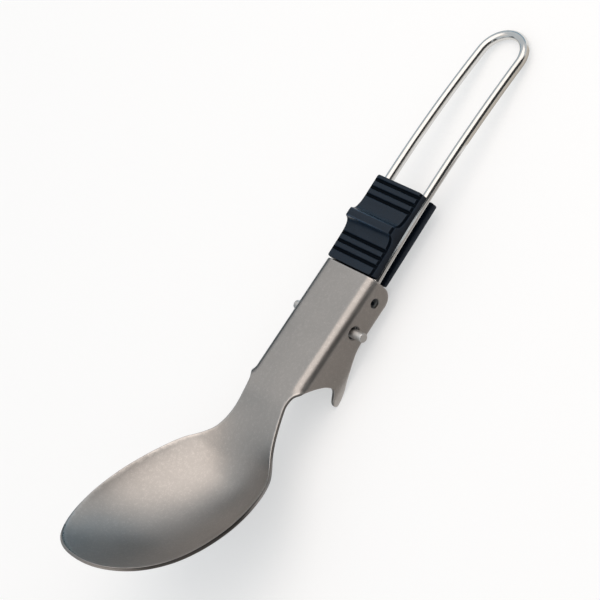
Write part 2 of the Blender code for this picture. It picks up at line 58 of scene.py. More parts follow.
FOLD_JOINT = next(joint for joint in frame["joints"] if joint["name"] == "handle_fold")
TOP_FACE = next(mount for mount in frame["record"]["mounts"] if mount["name"] == "channel_top")
PIVOT = np.array(FOLD_JOINT["pos_m"], float)
PITCH = math.atan2(TOP_FACE["axis"][0], TOP_FACE["axis"][2])
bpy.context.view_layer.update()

# The bowl's edge: how far from the neck to the widest place, and how far from half the neck's
# width to half the bowl's width. The last point keeps the curve level at the widest place.
BOWL_EDGE_SHARES = [
    (0.00, 0.000), (0.07, 0.019), (0.16, 0.062), (0.25, 0.136), (0.336, 0.246), (0.424, 0.436),
    (0.511, 0.637), (0.599, 0.765), (0.687, 0.851), (0.775, 0.920), (0.862, 0.966), (0.935, 0.991),
    (1.00, 1.000), (1.06, 1.000),
]
# The rim seen from the side: how far from the neck to the tip, and how far up the tip's rise.
RIM_SHARES = [
    (-0.10, 0.000), (-0.01, -0.012), (0.045, -0.047), (0.10, -0.078), (0.155, -0.098),
    (0.21, -0.107), (0.265, -0.082), (0.32, -0.022), (0.375, 0.039), (0.48, 0.164),
    (0.59, 0.307), (0.70, 0.456), (0.81, 0.618), (0.905, 0.788), (1.00, 1.000),
]
# The flange's edge down to the hook's tip, and the hook's inner side up through the notch.
HOOK_BACK_SHARES = [
    (-0.02, 0.000), (0.06, 0.018), (0.15, 0.055), (0.25, 0.140), (0.376, 0.300), (0.486, 0.450),
    (0.597, 0.600), (0.703, 0.775), (0.803, 0.892), (0.876, 0.963),
]
NOTCH_SHARES = [
    (0.982, 0.160), (0.945, 0.218), (0.882, 0.287), (0.836, 0.352), (0.818, 0.440), (0.838, 0.535),
    (0.872, 0.645), (0.926, 0.755), (0.984, 0.860), (1.044, 0.955),
]
# The slider's thumb ridge: place along the slider and height, as shares of its length and height.
RIDGE_SHARES = [
    (0.260, 0.00), (0.310, 0.025), (0.354, 0.085), (0.392, 0.20), (0.418, 0.36), (0.434, 0.53),
    (0.443, 0.71), (0.4485, 0.89), (0.4535, 0.965), (0.470, 0.99), (0.495, 1.00), (0.528, 0.975),
    (0.5435, 0.94), (0.5495, 0.87), (0.556, 0.68), (0.567, 0.47), (0.590, 0.28), (0.626, 0.14),
    (0.690, 0.03), (0.730, 0.00),
]

# The bowl's inside: how softly it falls from the rim, and how far from the neck it is at full depth.
DISH_SOFTNESS = 0.12
DISH_FADE = 0.42
# The neck's edge: the straight share of its way to the bends, and its share of the bend's width.
NECK_STRAIGHT = 0.4
NECK_FLARE = 0.7
# The arc round the hook's tip, in radians.
HOOK_TIP_TURN = (-0.5, 1.2)

# Wear on the sheet: how far it reaches in from an edge, in arrises, and how much of it shows on the
# inner arrises, on the flanges and in the holes.
WEAR_REACH = 1.1
INNER_WEAR = 0.15
FLANGE_WEAR = 0.25
HOLE_WEAR = 0.2
# Painted shade darkens the sheared edge, most round the bowl's front. As shares of the front's
# length: how far that is from the tip, how far from there the dark reaches, and over what length it
# fades to a paler edge.
DARK_EDGE_PLACE = 0.75
DARK_EDGE_REACH = 0.8636
DARK_EDGE_FADE = 0.4545
PALE_EDGE = 0.35
# The wire gets painted shade inside the channel, darker and rougher there, up to a reach and a side
# that each fade over a run, and from the blunt start outwards its pins are less shiny.
CHANNEL_SHADE_REACH = 0.0125
CHANNEL_SHADE_RUN = 0.0015
CHANNEL_SHADE_SIDE = 0.0092
SIDE_FADE_RUN = 0.0004
BLUNT_START = 0.0088
# On the slider: the bend that counts as a whole edge, per metre, the painted highlight on the ribs'
# edges, the dust and painted shade in the wire grooves, how near to a chamfer is matt and darkened
# by painted shade, in crisp edges, and the dust and painted shade inside.
SHARP_BEND = 5000.0
RIB_HIGHLIGHT = 0.5
WIRE_GROOVE_DUST_AND_SHADE = 0.6
MATT_AND_SHADE_SHARE = 0.25
INNER_DUST_AND_SHADE = 0.8

# Steps between a mesh's points, how near to an edge a point may fill the sheet, as a share of a
# step, and how many steps there are round arcs, circles and curves.
OUTLINE_STEP = 0.00034
FILL_STEP = 0.00050
FILL_GAP = 0.55
BLOCK_STEP = 0.00006
TONGUE_STEP = 0.0004
BOWL_STEPS = 159
CORNER_STEPS = 23
HOOK_TIP_POINTS = 5
ROUNDING_STEPS = 4
HOLE_SIDES = 40
WIRE_SIDES = 40
PIN_ROUND_STEPS = 5
PIN_STEPS = 10
PIN_BEND_STEPS = 16
LEG_STEPS = 189
LOOP_STEPS = 40
BOW_SAMPLES = 200
WIRE_GROOVE_STEPS = 6
NUB_STEPS = 5
NUB_SIDES = 24
# How far the tongue and the nubs start inside what carries them, and the tongue's play each side.
ROOT = 0.0006
TONGUE_PLAY = 0.000225

# Edges that bend more than this, in degrees, stay sharp.
STEEL_SHARP = 50
PLASTIC_SHARP = 60

MERGE_DISTANCE = 1e-6
TINY = 1e-15
LOT_SIZE = 1500
# The kind of result that keeps only the triangles inside the given edges, and its tolerance.
INSIDE_EDGES = 1
FILL_TOLERANCE = 1e-9
# What moves a point of the block's outline up and down along the slider.
ON_TOP, ON_SIDE, IN_GROOVE, UNDERNEATH = range(4)

# Soft boxes all face one place. Each has a name, a place, a width, and the names of the settings
# that hold its brightness and its colour.
SOFT_BOX_TARGET = (-0.02, 0.0, 0.02)
SOFT_BOXES = (
    ("overhead_wide", (0.250, -0.098, 0.636), 1.14, "overhead", "lamp_colour"),
    ("overhead_core", (0.250, -0.098, 0.636), 0.34, "core", "core_colour"),
    ("bowl_side", (-0.260, 0.138, 0.641), 0.42, "side", "core_colour"),
)
DARK = (0.010, 0.012, 0.015)
COOL = (0.30, 0.45, 0.57)
# Cards: name, place, target (one that lies flat has none), width and height, and colour.
CARDS = (
    ("front_card", (0.0, -0.062, 0.0415), (0.0, 0.0, 0.0415), (0.05, 0.083), DARK),
    ("wire_card", (0.088, -0.062, 0.046), (0.088, 0.0, 0.046), (0.10, 0.088), (0.03, 0.034, 0.034)),
    ("back_card", (-0.018, 0.062, 0.022), (-0.018, 0.0, 0.022), (0.105, 0.043), (0.018, 0.050, 0.075)),
    # These two stand for the shaded floor under and beside the spoon: painted shadow seen only in the metal.
    ("under_card", (-0.052, 0.0, 0.0004), None, (0.058, 0.046), (0.02, 0.02, 0.022)),
    ("low_card", (-0.036, -0.0355, 0.0004), None, (0.167, 0.049), (0.43, 0.42, 0.41)),
    ("rim_card", (-0.030, -0.115, 0.0004), None, (0.120, 0.110), (0.09, 0.09, 0.09)),
    ("loop_card", (0.100, -0.036, 0.0008), None, (0.100, 0.060), (0.62, 0.59, 0.54)),
    ("far_card", (0.34, 0.34, 0.08), (0.0, 0.0, 0.08), (0.8, 0.16), COOL),
    ("far_floor_card", (0.12, 0.19, 0.0012), None, (0.36, 0.30), COOL),
)
CARD_ROUGHNESS = 0.9
# The painted shadow on the floor under the channel, along and across: its middle, how far from
# there it starts to fade, and how far from there it ends. Then the floor's own glow where it is seen.
SHADE_MIDDLE = (0.001, -0.0012)
SHADE_CORE = (0.0060, 0.0014)
SHADE_EDGE = (0.0105, 0.0048)
FLOOR_GLOW = 0.5

# The camera, in the frame round the fold axis: its place, and its turns about x, y and z in degrees.
CAMERA_PLACE = (-0.08205, -0.50495, 0.50794)
CAMERA_TURN = (33.53854, 33.38300, -48.84596)
CAMERA_CLIP = (0.02, 20.0)
FILM_WIDTH_MM = 36.0


def length_prop(name, description, default):
    """A length that a user may change."""
    return FloatProperty(name=name, description=description, default=default, unit="LENGTH", precision=6)


def number_prop(name, description, default):
    """A plain number that a user may change."""
    return FloatProperty(name=name, description=description, default=default)


def slope_prop(name, description, degrees):
    """A slope that a user may change."""
    return FloatProperty(name=name, description=description, default=math.radians(degrees), subtype="ANGLE")


def colour_prop(name, description, default):
    """A colour that a user may change."""
    return FloatVectorProperty(name=name, description=description, default=default, subtype="COLOR",
                               size=3, min=0.0, max=1.0)


class SheetSizes(bpy.types.PropertyGroup):
    """Sizes of the pressed spoon body."""

    thickness: length_prop("Sheet", "Thickness of the titanium sheet", 0.0009)
    channel_width: length_prop("Channel width", "Across the two flanges, outside", 0.0184)
    channel_reach: length_prop("Channel reach", "From the fold axis to the channel's open end", 0.0130)
    plate_height: length_prop("Plate height", "Top of the channel over the fold axis", 0.0046)
    bend_radius: length_prop("Bend radius", "Outer radius of the flanges' bends", 0.00255)
    bend_end: length_prop("Bend end", "From the fold axis back to where the bends fade", 0.0180)
    bend_fade: length_prop("Bend fade", "Length over which the bends fade into the neck", 0.0030)
    flange_drop: length_prop("Flange drop", "Flange's lower edge below the fold axis", 0.00365)
    flange_corner: length_prop("Flange corner", "Radius of the flange's rounded corner", 0.0034)
    hook_reach: length_prop("Hook reach", "From the fold axis back to the hook", 0.0165)
    hook_drop: length_prop("Hook drop", "From the fold axis down to the hook's tip", 0.0089)
    hook_tip: length_prop("Hook tip", "Radius of the hook's tip", 0.0009)
    pin_hole: length_prop("Pin hole", "Radius of the holes for the handle's pins", 0.0017)
    pin_play: length_prop("Pin play", "Pin hole's middle over the fold axis", 0.0002)
    latch_hole: length_prop("Latch hole", "Radius of the holes near the open end", 0.00125)
    latch_reach: length_prop("Latch reach", "From the fold axis to the latch holes", 0.0086)
    latch_drop: length_prop("Latch drop", "Latch holes below the fold axis", 0.0001)
    neck_width: length_prop("Neck width", "Width of the neck at its narrowest", 0.0147)
    neck_place: length_prop("Neck place", "From the fold axis back to the neck", 0.0245)
    bowl_reach: length_prop("Bowl reach", "From the fold axis back to the bowl's tip", 0.07924)
    bowl_width: length_prop("Bowl width", "Width of the bowl at its widest", 0.03962)
    bowl_front: length_prop("Bowl front", "From the widest place to the bowl's tip", 0.02254)
    bowl_depth: length_prop("Bowl depth", "Depth of the bowl below its rim", 0.00928)
    tip_rise: length_prop("Tip rise", "Bowl's tip over the channel's top", 0.0224)
    front_power: number_prop("Front fullness", "Power of the oval front of the bowl", 2.27)
    dish_power: number_prop("Dish power", "Lower is steeper at the rim and flatter inside", 0.78)
    arris: length_prop("Arris", "Radius that tumbling gave the sheet's edges", 0.0002)
    colour: colour_prop("Titanium", "Colour of the blasted titanium", (0.432, 0.406, 0.382))


class WireSizes(bpy.types.PropertyGroup):
    """Sizes of the wire handle."""

    radius: length_prop("Wire radius", "Radius of the round wire", 0.001194)
    pin_end: length_prop("Pin end", "From the middle to each pin's end", 0.0125)
    pin_bend: length_prop("Pin bend", "Radius of the bend between pin and leg", 0.0017)
    pin_round: length_prop("Pin rounding", "Rounding of the pins' cut ends", 0.00025)
    pivot_spread: length_prop("Spread at the pins", "Leg's middle from the spoon's middle", 0.00685)
    widest_spread: length_prop("Widest spread", "Leg's middle from the spoon's middle", 0.0070)
    widest_place: length_prop("Widest place", "Where the legs are widest apart", 0.0360)
    loop_spread: length_prop("Loop radius", "Radius of the loop to the wire's middle", 0.0066)
    leg_reach: length_prop("Leg reach", "From the fold axis to where the loop begins", 0.07579)
    bow_radius: length_prop("Bow radius", "Radius of the legs' bow, seen from the side", 0.3385)
    bow_start: slope_prop("Bow start", "Slope of the legs at the fold axis", 7.5)
    colour: colour_prop("Steel", "Colour of the polished wire", (0.70, 0.69, 0.67))


class SliderSizes(bpy.types.PropertyGroup):
    """Sizes of the lock slider."""

    start: length_prop("Start", "From the fold axis to the slider's spoon end", 0.0133)
    length: length_prop("Length", "Length of the slider's block", 0.0230)
    half_width: length_prop("Half width", "From the middle to each side", 0.0082)
    lip_half: length_prop("Lip half width", "From the middle to the lip's outer side", 0.0080)
    top: length_prop("Top", "Top face over the wire's middle", 0.0034)
    bottom: length_prop("Bottom", "Underside below the wire's middle", 0.0036)
    lip: length_prop("Lip", "Thickness of the lip under the wire groove", 0.0015)
    tilt: slope_prop("Tilt", "Rise of the slider towards the loop", 1.85)
    web_half: length_prop("Web", "Half the width between the wire grooves", 0.0051)
    groove_clearance: length_prop("Wire clearance", "Between the wire and its groove", 0.000306)
    chamfer: length_prop("Chamfer", "Chamfer of the long top edges", 0.00055)
    plan_corner: length_prop("Plan corner", "Rounding of the four upright corners", 0.00060)
    crisp: length_prop("Crisp edge", "Rounding of the edges along the chamfers", 0.00009)
    edge: length_prop("Edge", "Rounding of the other edges", 0.00018)
    grip_pitch: length_prop("Grip pitch", "Between two finger grooves", 0.00213)
    grip_width: length_prop("Grip width", "Width of a finger groove", 0.00080)
    grip_wall: length_prop("Grip wall", "Run of a finger groove's wall", 0.00038)
    grip_depth: length_prop("Grip depth", "Depth of a finger groove", 0.00050)
    grip_inset: length_prop("Grip inset", "From the loop end to the first groove", 0.00135)
    grip_count: IntProperty(name="Grooves", description="Finger grooves near each end", default=3)
    ridge_height: length_prop("Ridge height", "Thumb ridge over the top face", 0.00205)
    tongue: length_prop("Tongue", "Length of the tongue inside the channel", 0.0062)
    nub: length_prop("Nub", "Diameter of the nubs behind the latch holes", 0.0009)
    nub_end: length_prop("Nub end", "From the middle to each nub's end", 0.0080)
    colour: colour_prop("Plastic", "Colour of the moulded plastic", (0.0042, 0.0088, 0.0160))


class StudioSettings(bpy.types.PropertyGroup):
    """The floor, the light and the camera."""

    floor_size: length_prop("Floor", "Side of the square floor", 8.0)
    floor_colour: colour_prop("Floor colour", "Colour of the pale floor", (0.935, 0.945, 0.945))
    room_colour: colour_prop("Room colour", "Colour of the light from all round", (0.890, 0.950, 1.0))
    room_strength: number_prop("Room light", "Strength of the light from all round", 0.685)
    lamp_colour: colour_prop("Lamp colour", "Colour of the wide soft box", (1.0, 0.87, 0.78))
    overhead: number_prop("Overhead box", "Brightness of the wide soft box overhead", 1.00)
    core_colour: colour_prop("Core colour", "Colour of the small soft boxes", (1.0, 0.67, 0.42))
    core: number_prop("Overhead core", "Brightness of the small soft box overhead", 0.85)
    side: number_prop("Bowl side box", "Brightness of the soft box beyond the bowl", 0.24)
    lens: FloatProperty(name="Lens", description="Focal length of the camera", default=182.02,
                        subtype="DISTANCE_CAMERA")


class SpoonSettings(bpy.types.PropertyGroup):
    """Everything about the spoon that a user may change."""

    sheet: PointerProperty(type=SheetSizes)
    wire: PointerProperty(type=WireSizes)
    slider: PointerProperty(type=SliderSizes)
    studio: PointerProperty(type=StudioSettings)


# Shared shape helpers

def smooth_step(value):
    """Rise from 0 to 1 with level ends: the square of the value times three less twice it."""
    held = np.clip(value, 0.0, 1.0)
    return held * held * (3.0 - 2.0 * held)


def quarter_turn(steps):
    """Angles from nought to a right angle, in even steps."""
    return np.linspace(0.0, math.pi / 2, steps + 1)


def full_turn(sides):
    """The angles of the points of a circle, without the first again at its end."""
    return np.arange(sides) * 2 * math.pi / sides


def unit(vectors):
    """Each vector divided by its length."""
    return vectors / np.maximum(np.linalg.norm(vectors, axis=-1, keepdims=True), TINY)


def length_along(points):
    """How far along a line of points each of them lies: the running sum of the steps."""
    return np.concatenate([[0.0], np.cumsum(np.linalg.norm(np.diff(points, axis=0), axis=1))])


def spline_through(table, at):
    """A cubic through the table's points, each slope the mean of its neighbours' by their gaps."""
    table = np.asarray(table, float)
    gaps = np.diff(table[:, 0])
    slopes = np.diff(table[:, 1]) / gaps
    inner = (slopes[:-1] * gaps[1:] + slopes[1:] * gaps[:-1]) / (gaps[:-1] + gaps[1:])
    tangents = np.concatenate([slopes[:1], inner, slopes[-1:]])
    held = np.clip(at, table[0, 0], table[-1, 0])
    k = np.clip(np.searchsorted(table[:, 0], held, side="right") - 1, 0, len(gaps) - 1)
    t = (held - table[k, 0]) / gaps[k]
    start, stop = table[k, 1], table[k + 1, 1]
    return ((2 * t ** 3 - 3 * t ** 2 + 1) * start + (t ** 3 - 2 * t ** 2 + t) * gaps[k] * tangents[k]
            + (3 * t ** 2 - 2 * t ** 3) * stop + (t ** 3 - t ** 2) * gaps[k] * tangents[k + 1])


def smooth_curve(points, step):
    """A Catmull-Rom curve through the points: each span a cubic set by its four nearest points."""
    points = np.asarray(points, float)
    ends = np.vstack([2 * points[0] - points[1], points, 2 * points[-1] - points[-2]])
    samples = [points[:1]]
    for k in range(len(points) - 1):
        before, start, stop, after = ends[k:k + 4]
        count = max(1, round(float(np.linalg.norm(stop - start)) / step))
        t = np.arange(1, count + 1)[:, None] / count
        bend = 2 * before - 5 * start + 4 * stop - after
        twist = 3 * start - before - 3 * stop + after
        samples.append(0.5 * (2 * start + (stop - before) * t + bend * t ** 2 + twist * t ** 3))
    return np.vstack(samples)


def even_loop(points, step):
    """The closed loop through the points, cut into even steps of its length."""
    closed = np.vstack([points, points[:1]])
    length = length_along(closed)
    at = np.linspace(0.0, length[-1], round(length[-1] / step) + 1)[:-1]
    return np.column_stack([np.interp(at, length, closed[:, 0]), np.interp(at, length, closed[:, 1])])


def inward(loops):
    """At each point of a closed loop, or of many at once, the direction into it: the line between
    the point's neighbours, turned by a right angle to the side that the sign of the area gives."""
    ahead = np.roll(loops, -1, axis=-2)
    across = unit(ahead - np.roll(loops, 1, axis=-2))
    twice = loops[..., 0] * ahead[..., 1] - ahead[..., 0] * loops[..., 1]
    side = np.sign(np.sum(twice, axis=-1, keepdims=True))[..., None]
    return side * np.stack([-across[..., 1], across[..., 0]], axis=-1)


def as_laid(points):
    """From the frame round the fold axis to the table: turned by the pitch about +Y, then moved."""
    c, s = math.cos(PITCH), math.sin(PITCH)
    x, y, z = points[..., 0], points[..., 1], points[..., 2]
    return np.stack([c * x + s * z, y, c * z - s * x], axis=-1) + PIVOT


def grid_faces(rows, columns, first=0):
    """The quads of a grid of points, row by row, whose last column joins its first."""
    across = np.arange(columns)
    row_starts = np.arange(rows - 1)[:, None] * columns + first
    here, beside = row_starts + across, row_starts + np.roll(across, -1)
    return np.stack([here, beside, beside + columns, here + columns], axis=-1).reshape(-1, 4)


def joined_tubes(tubes):
    """Several closed tubes in one mesh. Each is an array of rows of points that go once round it, and
    gets the quads between its rows and one face over its first row and its last."""
    points, faces, first = [], [], 0
    for tube in tubes:
        rows, columns = tube.shape[:2]
        last_row = first + (rows - 1) * columns
        faces += grid_faces(rows, columns, first).tolist()
        faces.append(list(range(first, first + columns)))
        faces.append(list(range(last_row, last_row + columns))[::-1])
        points.append(tube.reshape(-1, 3))
        first = last_row + columns
    return np.vstack(points), faces


def add_piece(name, points, faces, body, finish, attributes):
    """Puts a surface into a new object that rides on a body. Points in one place become one, and the
    normals point outwards."""
    mesh = bpy.data.meshes.new(name)
    mesh.from_pydata(as_laid(points), [], faces)
    for label, values in attributes.items():
        layer = mesh.attributes.new(label, "FLOAT", "POINT")
        layer.data.foreach_set("value", np.ascontiguousarray(values, np.float32))
    shape = bmesh.new()
    shape.from_mesh(mesh)
    bmesh.ops.remove_doubles(shape, verts=shape.verts, dist=MERGE_DISTANCE)
    bmesh.ops.recalc_face_normals(shape, faces=shape.faces)
    shape.to_mesh(mesh)
    shape.free()
    mesh.shade_smooth()
    mesh.materials.append(finish)
    piece = bpy.data.objects.new(name, mesh)
    bpy.context.scene.collection.objects.link(piece)
    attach(piece, body)
    return piece


# The pressed spoon body

def bowl_half_width(sheet, x):
    """Behind the widest place, half the neck's width plus a share of the rest from the table; in
    front of it, an oval: (1 - reach to the power p) to the power 1/p, times half the width."""
    widest = -(sheet.bowl_reach - sheet.bowl_front)
    share = spline_through(BOWL_EDGE_SHARES, (-x - sheet.neck_place) / (-widest - sheet.neck_place))
    back = sheet.neck_width / 2 + (sheet.bowl_width - sheet.neck_width) / 2 * share
    reach = np.clip((widest - x) / sheet.bowl_front, 0.0, 1.0)
    front = sheet.bowl_width / 2 * (1.0 - reach ** sheet.front_power) ** (1.0 / sheet.front_power)
    return np.where(x > widest, back, front)


def press(sheet, x, s):
    """The sheet's outside over the flat blank, at x along it and s from its middle line. Sideways
    it stays flat, turns through a quarter of a circle and runs straight down; the bend fades by a
    smooth step behind the channel. The rim's height comes from the table. The bowl's depth is a
    power of the distance inside the rim, which is the half width squared less s squared."""
    side = np.abs(s)
    flat_half = sheet.channel_width / 2 - sheet.bend_radius
    folded = smooth_step((x + sheet.bend_end + sheet.bend_fade) / sheet.bend_fade)
    over = np.maximum(side - flat_half, 0.0)
    bent = np.minimum(over, sheet.bend_radius * math.pi / 2)
    straight = over - bent
    turn = folded * bent / sheet.bend_radius
    out = np.minimum(side, flat_half) + bent * np.sinc(turn / math.pi)
    out = out + straight * np.cos(folded * math.pi / 2)
    drop = bent * np.sin(turn / 2) * np.sinc(turn / 2 / math.pi)
    drop = drop + straight * np.sin(folded * math.pi / 2)
    along = (-x - sheet.neck_place) / (sheet.bowl_reach - sheet.neck_place)
    rise = np.where(along < RIM_SHARES[0][0], 0.0, spline_through(RIM_SHARES, along))
    inside = (bowl_half_width(sheet, x) ** 2 - s ** 2) / (sheet.bowl_width / 2) ** 2
    inside = np.where(x < -sheet.neck_place, np.clip(inside, 0.0, 1.0), 0.0)
    soft = DISH_SOFTNESS ** sheet.dish_power
    full = (1.0 + DISH_SOFTNESS) ** sheet.dish_power - soft
    dish = sheet.bowl_depth * ((inside + DISH_SOFTNESS) ** sheet.dish_power - soft) / full
    dish = dish * smooth_step(along / DISH_FADE)
    height = sheet.plate_height + sheet.tip_rise * rise - drop - dish
    return np.stack([x, np.sign(s) * out, height], axis=-1)


def press_normal(sheet, x, s):
    """The sheet's outward normal: the cross product of its slopes along x and along s."""
    small = sheet.thickness / 100
    along_x = press(sheet, x + small, s) - press(sheet, x - small, s)
    along_s = press(sheet, x, s + small) - press(sheet, x, s - small)
    return unit(np.cross(along_x, along_s))


def blank_loops(sheet):
    """The edges of the flat blank: its outline, and the two holes of each flange."""
    flat_half = sheet.channel_width / 2 - sheet.bend_radius
    bend_length = sheet.bend_radius * math.pi / 2
    fold_top = sheet.plate_height - sheet.bend_radius

    def down(height):
        """How far from the blank's middle line a height on a flange lies: the flat half, the bend's
        length, and how far the height is below the bend."""
        return flat_half + bend_length + fold_top - height

    widest = -(sheet.bowl_reach - sheet.bowl_front)
    turn = quarter_turn(BOWL_STEPS)
    power = 2.0 / sheet.front_power
    front = np.column_stack([widest - sheet.bowl_front * np.cos(turn) ** power,
                             sheet.bowl_width / 2 * np.sin(turn) ** power])
    back_x = np.linspace(widest, -sheet.neck_place, BOWL_STEPS + 1)[1:]
    back = np.column_stack([back_x, bowl_half_width(sheet, back_x)])

    fade_start = sheet.bend_end + sheet.bend_fade
    neck_half, half_outer = sheet.neck_width / 2, sheet.channel_width / 2
    neck = [(-sheet.neck_place, neck_half),
            (-sheet.neck_place + NECK_STRAIGHT * (sheet.neck_place - fade_start), neck_half),
            (-fade_start, (neck_half + half_outer) / 2 - sheet.thickness / 2),
            (-sheet.bend_end - sheet.bend_fade / 3, flat_half + bend_length * NECK_FLARE)]
    notch = [(-sheet.hook_reach * reach, down(-sheet.hook_drop + up * (fold_top + sheet.hook_drop)))
             for reach, up in NOTCH_SHARES]
    tip_x, tip_s = -sheet.hook_reach + sheet.hook_tip, down(-sheet.hook_drop + sheet.hook_tip)
    tip = [(tip_x - sheet.hook_tip * math.cos(a), tip_s + sheet.hook_tip * math.sin(a))
           for a in np.linspace(*HOOK_TIP_TURN, HOOK_TIP_POINTS)]
    hook_below = sheet.hook_drop - sheet.flange_drop
    hook = [(-sheet.hook_reach * reach, down(-sheet.flange_drop - lower * hook_below))
            for reach, lower in HOOK_BACK_SHARES]
    edge = smooth_curve(neck + notch[::-1] + tip + hook[::-1], OUTLINE_STEP / 2)[1:]

    corner = [(sheet.channel_reach - sheet.flange_corner + sheet.flange_corner * math.sin(a),
               down(-sheet.flange_drop + sheet.flange_corner) + sheet.flange_corner * math.cos(a))
              for a in quarter_turn(CORNER_STEPS)]
    half = np.vstack([front, back, edge, corner, [(sheet.channel_reach, 0.0)]])
    loops = [even_loop(np.vstack([half, half[-2:0:-1] * (1.0, -1.0)]), OUTLINE_STEP)]
    around = full_turn(HOLE_SIDES)
    for side in (1.0, -1.0):
        for x, s, radius in ((0.0, down(sheet.pin_play), sheet.pin_hole),
                             (sheet.latch_reach, down(-sheet.latch_drop), sheet.latch_hole)):
            loops.append(np.column_stack([x + radius * np.cos(around), side * s + radius * np.sin(around)]))
    return loops


def in_lots(points):
    """The points in lots, each small enough to compare with a whole edge at once."""
    return np.array_split(points, max(1, len(points) // LOT_SIZE))


def inside_loop(points, loop):
    """Whether each point lies inside the closed loop, by counting the edges to its right."""
    ahead = np.roll(loop, -1, axis=0)
    rise = ahead[:, 1] - loop[:, 1]
    slope = (ahead[:, 0] - loop[:, 0]) / np.where(rise == 0.0, 1.0, rise)
    counts = []
    for lot in in_lots(points):
        x, s = lot[:, :1], lot[:, 1:]
        crosses = (loop[:, 1] > s) != (ahead[:, 1] > s)
        counts.append(np.sum(crosses & (x < loop[:, 0] + slope * (s - loop[:, 1])), axis=1))
    return np.concatenate(counts) % 2 == 1


def on_sheet(points, loops):
    """Whether each point lies inside the first loop and outside the others."""
    solid = inside_loop(points, loops[0])
    for hole in loops[1:]:
        solid &= ~inside_loop(points, hole)
    return solid


def nearest(points, others):
    """The distance from each point to the nearest of the others."""
    parts = [np.linalg.norm(lot[:, None] - others[None], axis=2).min(axis=1) for lot in in_lots(points)]
    return np.concatenate(parts)


def fill_blank(loops):
    """Points and triangles inside the first loop and outside the others, from an even grid."""
    border = np.vstack(loops)
    x = np.arange(border[:, 0].min(), border[:, 0].max(), FILL_STEP)
    s = np.arange(0.0, border[:, 1].max(), FILL_STEP)
    grid = np.stack(np.meshgrid(x, np.concatenate([-s[:0:-1], s]), indexing="ij"), axis=-1).reshape(-1, 2)
    grid = grid[on_sheet(grid, loops)]
    grid = grid[nearest(grid, border) > FILL_STEP * FILL_GAP]
    edges, first = [], 0
    for loop in loops:
        here = first + np.arange(len(loop))
        edges.append(np.column_stack([here, np.roll(here, -1)]))
        first += len(loop)
    points = [Vector(point) for point in np.vstack([border, grid])]
    found = geometry.delaunay_2d_cdt(points, np.vstack(edges).tolist(), [], INSIDE_EDGES, FILL_TOLERANCE)
    flat, triangles = np.array([tuple(point) for point in found[0]]), np.array(found[2])
    return flat, triangles[on_sheet(flat[triangles].mean(axis=1), loops)]


def edge_wear(sheet, x, s):
    """How much the tumbling shows at x and s: fully, but less by smooth steps on the flanges."""
    down = smooth_step((np.abs(s) - sheet.channel_width / 2) / sheet.bend_radius)
    on_flange = down * smooth_step((x + sheet.hook_reach) / sheet.bend_radius + 1.0)
    return 1.0 - (1.0 - FLANGE_WEAR) * on_flange


def make_sheet(sheet):
    """The pressed sheet: its outside, its inside one thickness below along the normal, and round
    each edge a strip whose profile is a quarter circle, a straight cut and a quarter circle. Masks
    say how worn its arrises are and how much painted shade darkens its cut edges."""
    loops = blank_loops(sheet)
    into = [inward(loops[0])] + [-inward(hole) for hole in loops[1:]]
    inset = [loop + sheet.arris * n for loop, n in zip(loops, into)]
    flat, triangles = fill_blank(inset)
    x, s = flat.T
    outside = press(sheet, x, s)
    inside = outside - sheet.thickness * press_normal(sheet, x, s)
    worn = np.exp(-(nearest(flat, np.vstack(inset)) / (WEAR_REACH * sheet.arris)) ** 2)
    worn = worn * edge_wear(sheet, x, s)
    points, faces = [outside, inside], [triangles, triangles[:, ::-1] + len(flat)]
    arris, cut = [worn, INNER_WEAR * worn], [np.zeros(2 * len(flat))]

    sine, cosine = np.sin(quarter_turn(ROUNDING_STEPS)), np.cos(quarter_turn(ROUNDING_STEPS))
    off = sheet.arris * np.concatenate([1.0 - sine, 1.0 - cosine])
    depth = np.concatenate([sheet.arris * (1.0 - cosine), sheet.thickness - sheet.arris * (1.0 - sine)])
    bright = np.concatenate([cosine, INNER_WEAR * sine])
    sheared = np.concatenate([1.0 - cosine, np.ones(ROUNDING_STEPS), [0.0]])
    first = 2 * len(flat)
    for loop, n, share in zip(loops, into, [1.0] + [HOLE_WEAR] * (len(loops) - 1)):
        x, s = np.moveaxis(loop + off[:, None, None] * n, -1, 0)
        strip = press(sheet, x, s) - depth[:, None, None] * press_normal(sheet, x, s)
        points.append(strip.reshape(-1, 3))
        faces.append(grid_faces(len(off), len(loop), first))
        first += x.size
        arris.append((bright[:, None] * edge_wear(sheet, x, s) * share).reshape(-1))
        # Painted shade on the cut edges, darkest round the bowl's front.
        away = np.abs(x + sheet.bowl_reach - DARK_EDGE_PLACE * sheet.bowl_front) / sheet.bowl_front
        painted_edge_shade = PALE_EDGE + (1.0 - PALE_EDGE) * smooth_step((DARK_EDGE_REACH - away) / DARK_EDGE_FADE)
        cut.append((sheared[:, None] * painted_edge_shade).reshape(-1))
    faces = [face for block in faces for face in block.tolist()]
    return np.vstack(points), faces, {"arris": np.concatenate(arris), "cut": np.concatenate(cut)}


# The wire handle

def bow_height(wire, x):
    """Height of the wire's middle at x, on a circle through the fold axis with its middle below."""
    centre_x = wire.bow_radius * math.sin(wire.bow_start)
    centre_z = -wire.bow_radius * math.cos(wire.bow_start)
    return centre_z + np.sqrt(wire.bow_radius ** 2 - (x - centre_x) ** 2)


def leg_spread(wire, x):
    """Half the distance between the legs, less a square of the distance from the widest place."""
    before = (wire.widest_place - x) / (wire.widest_place - wire.pin_bend)
    after = (x - wire.widest_place) / (wire.leg_reach - wire.widest_place)
    drawn = np.where(x < wire.widest_place, (wire.widest_spread - wire.pivot_spread) * before ** 2,
                     (wire.widest_spread - wire.loop_spread) * after ** 2)
    return wire.widest_spread - drawn


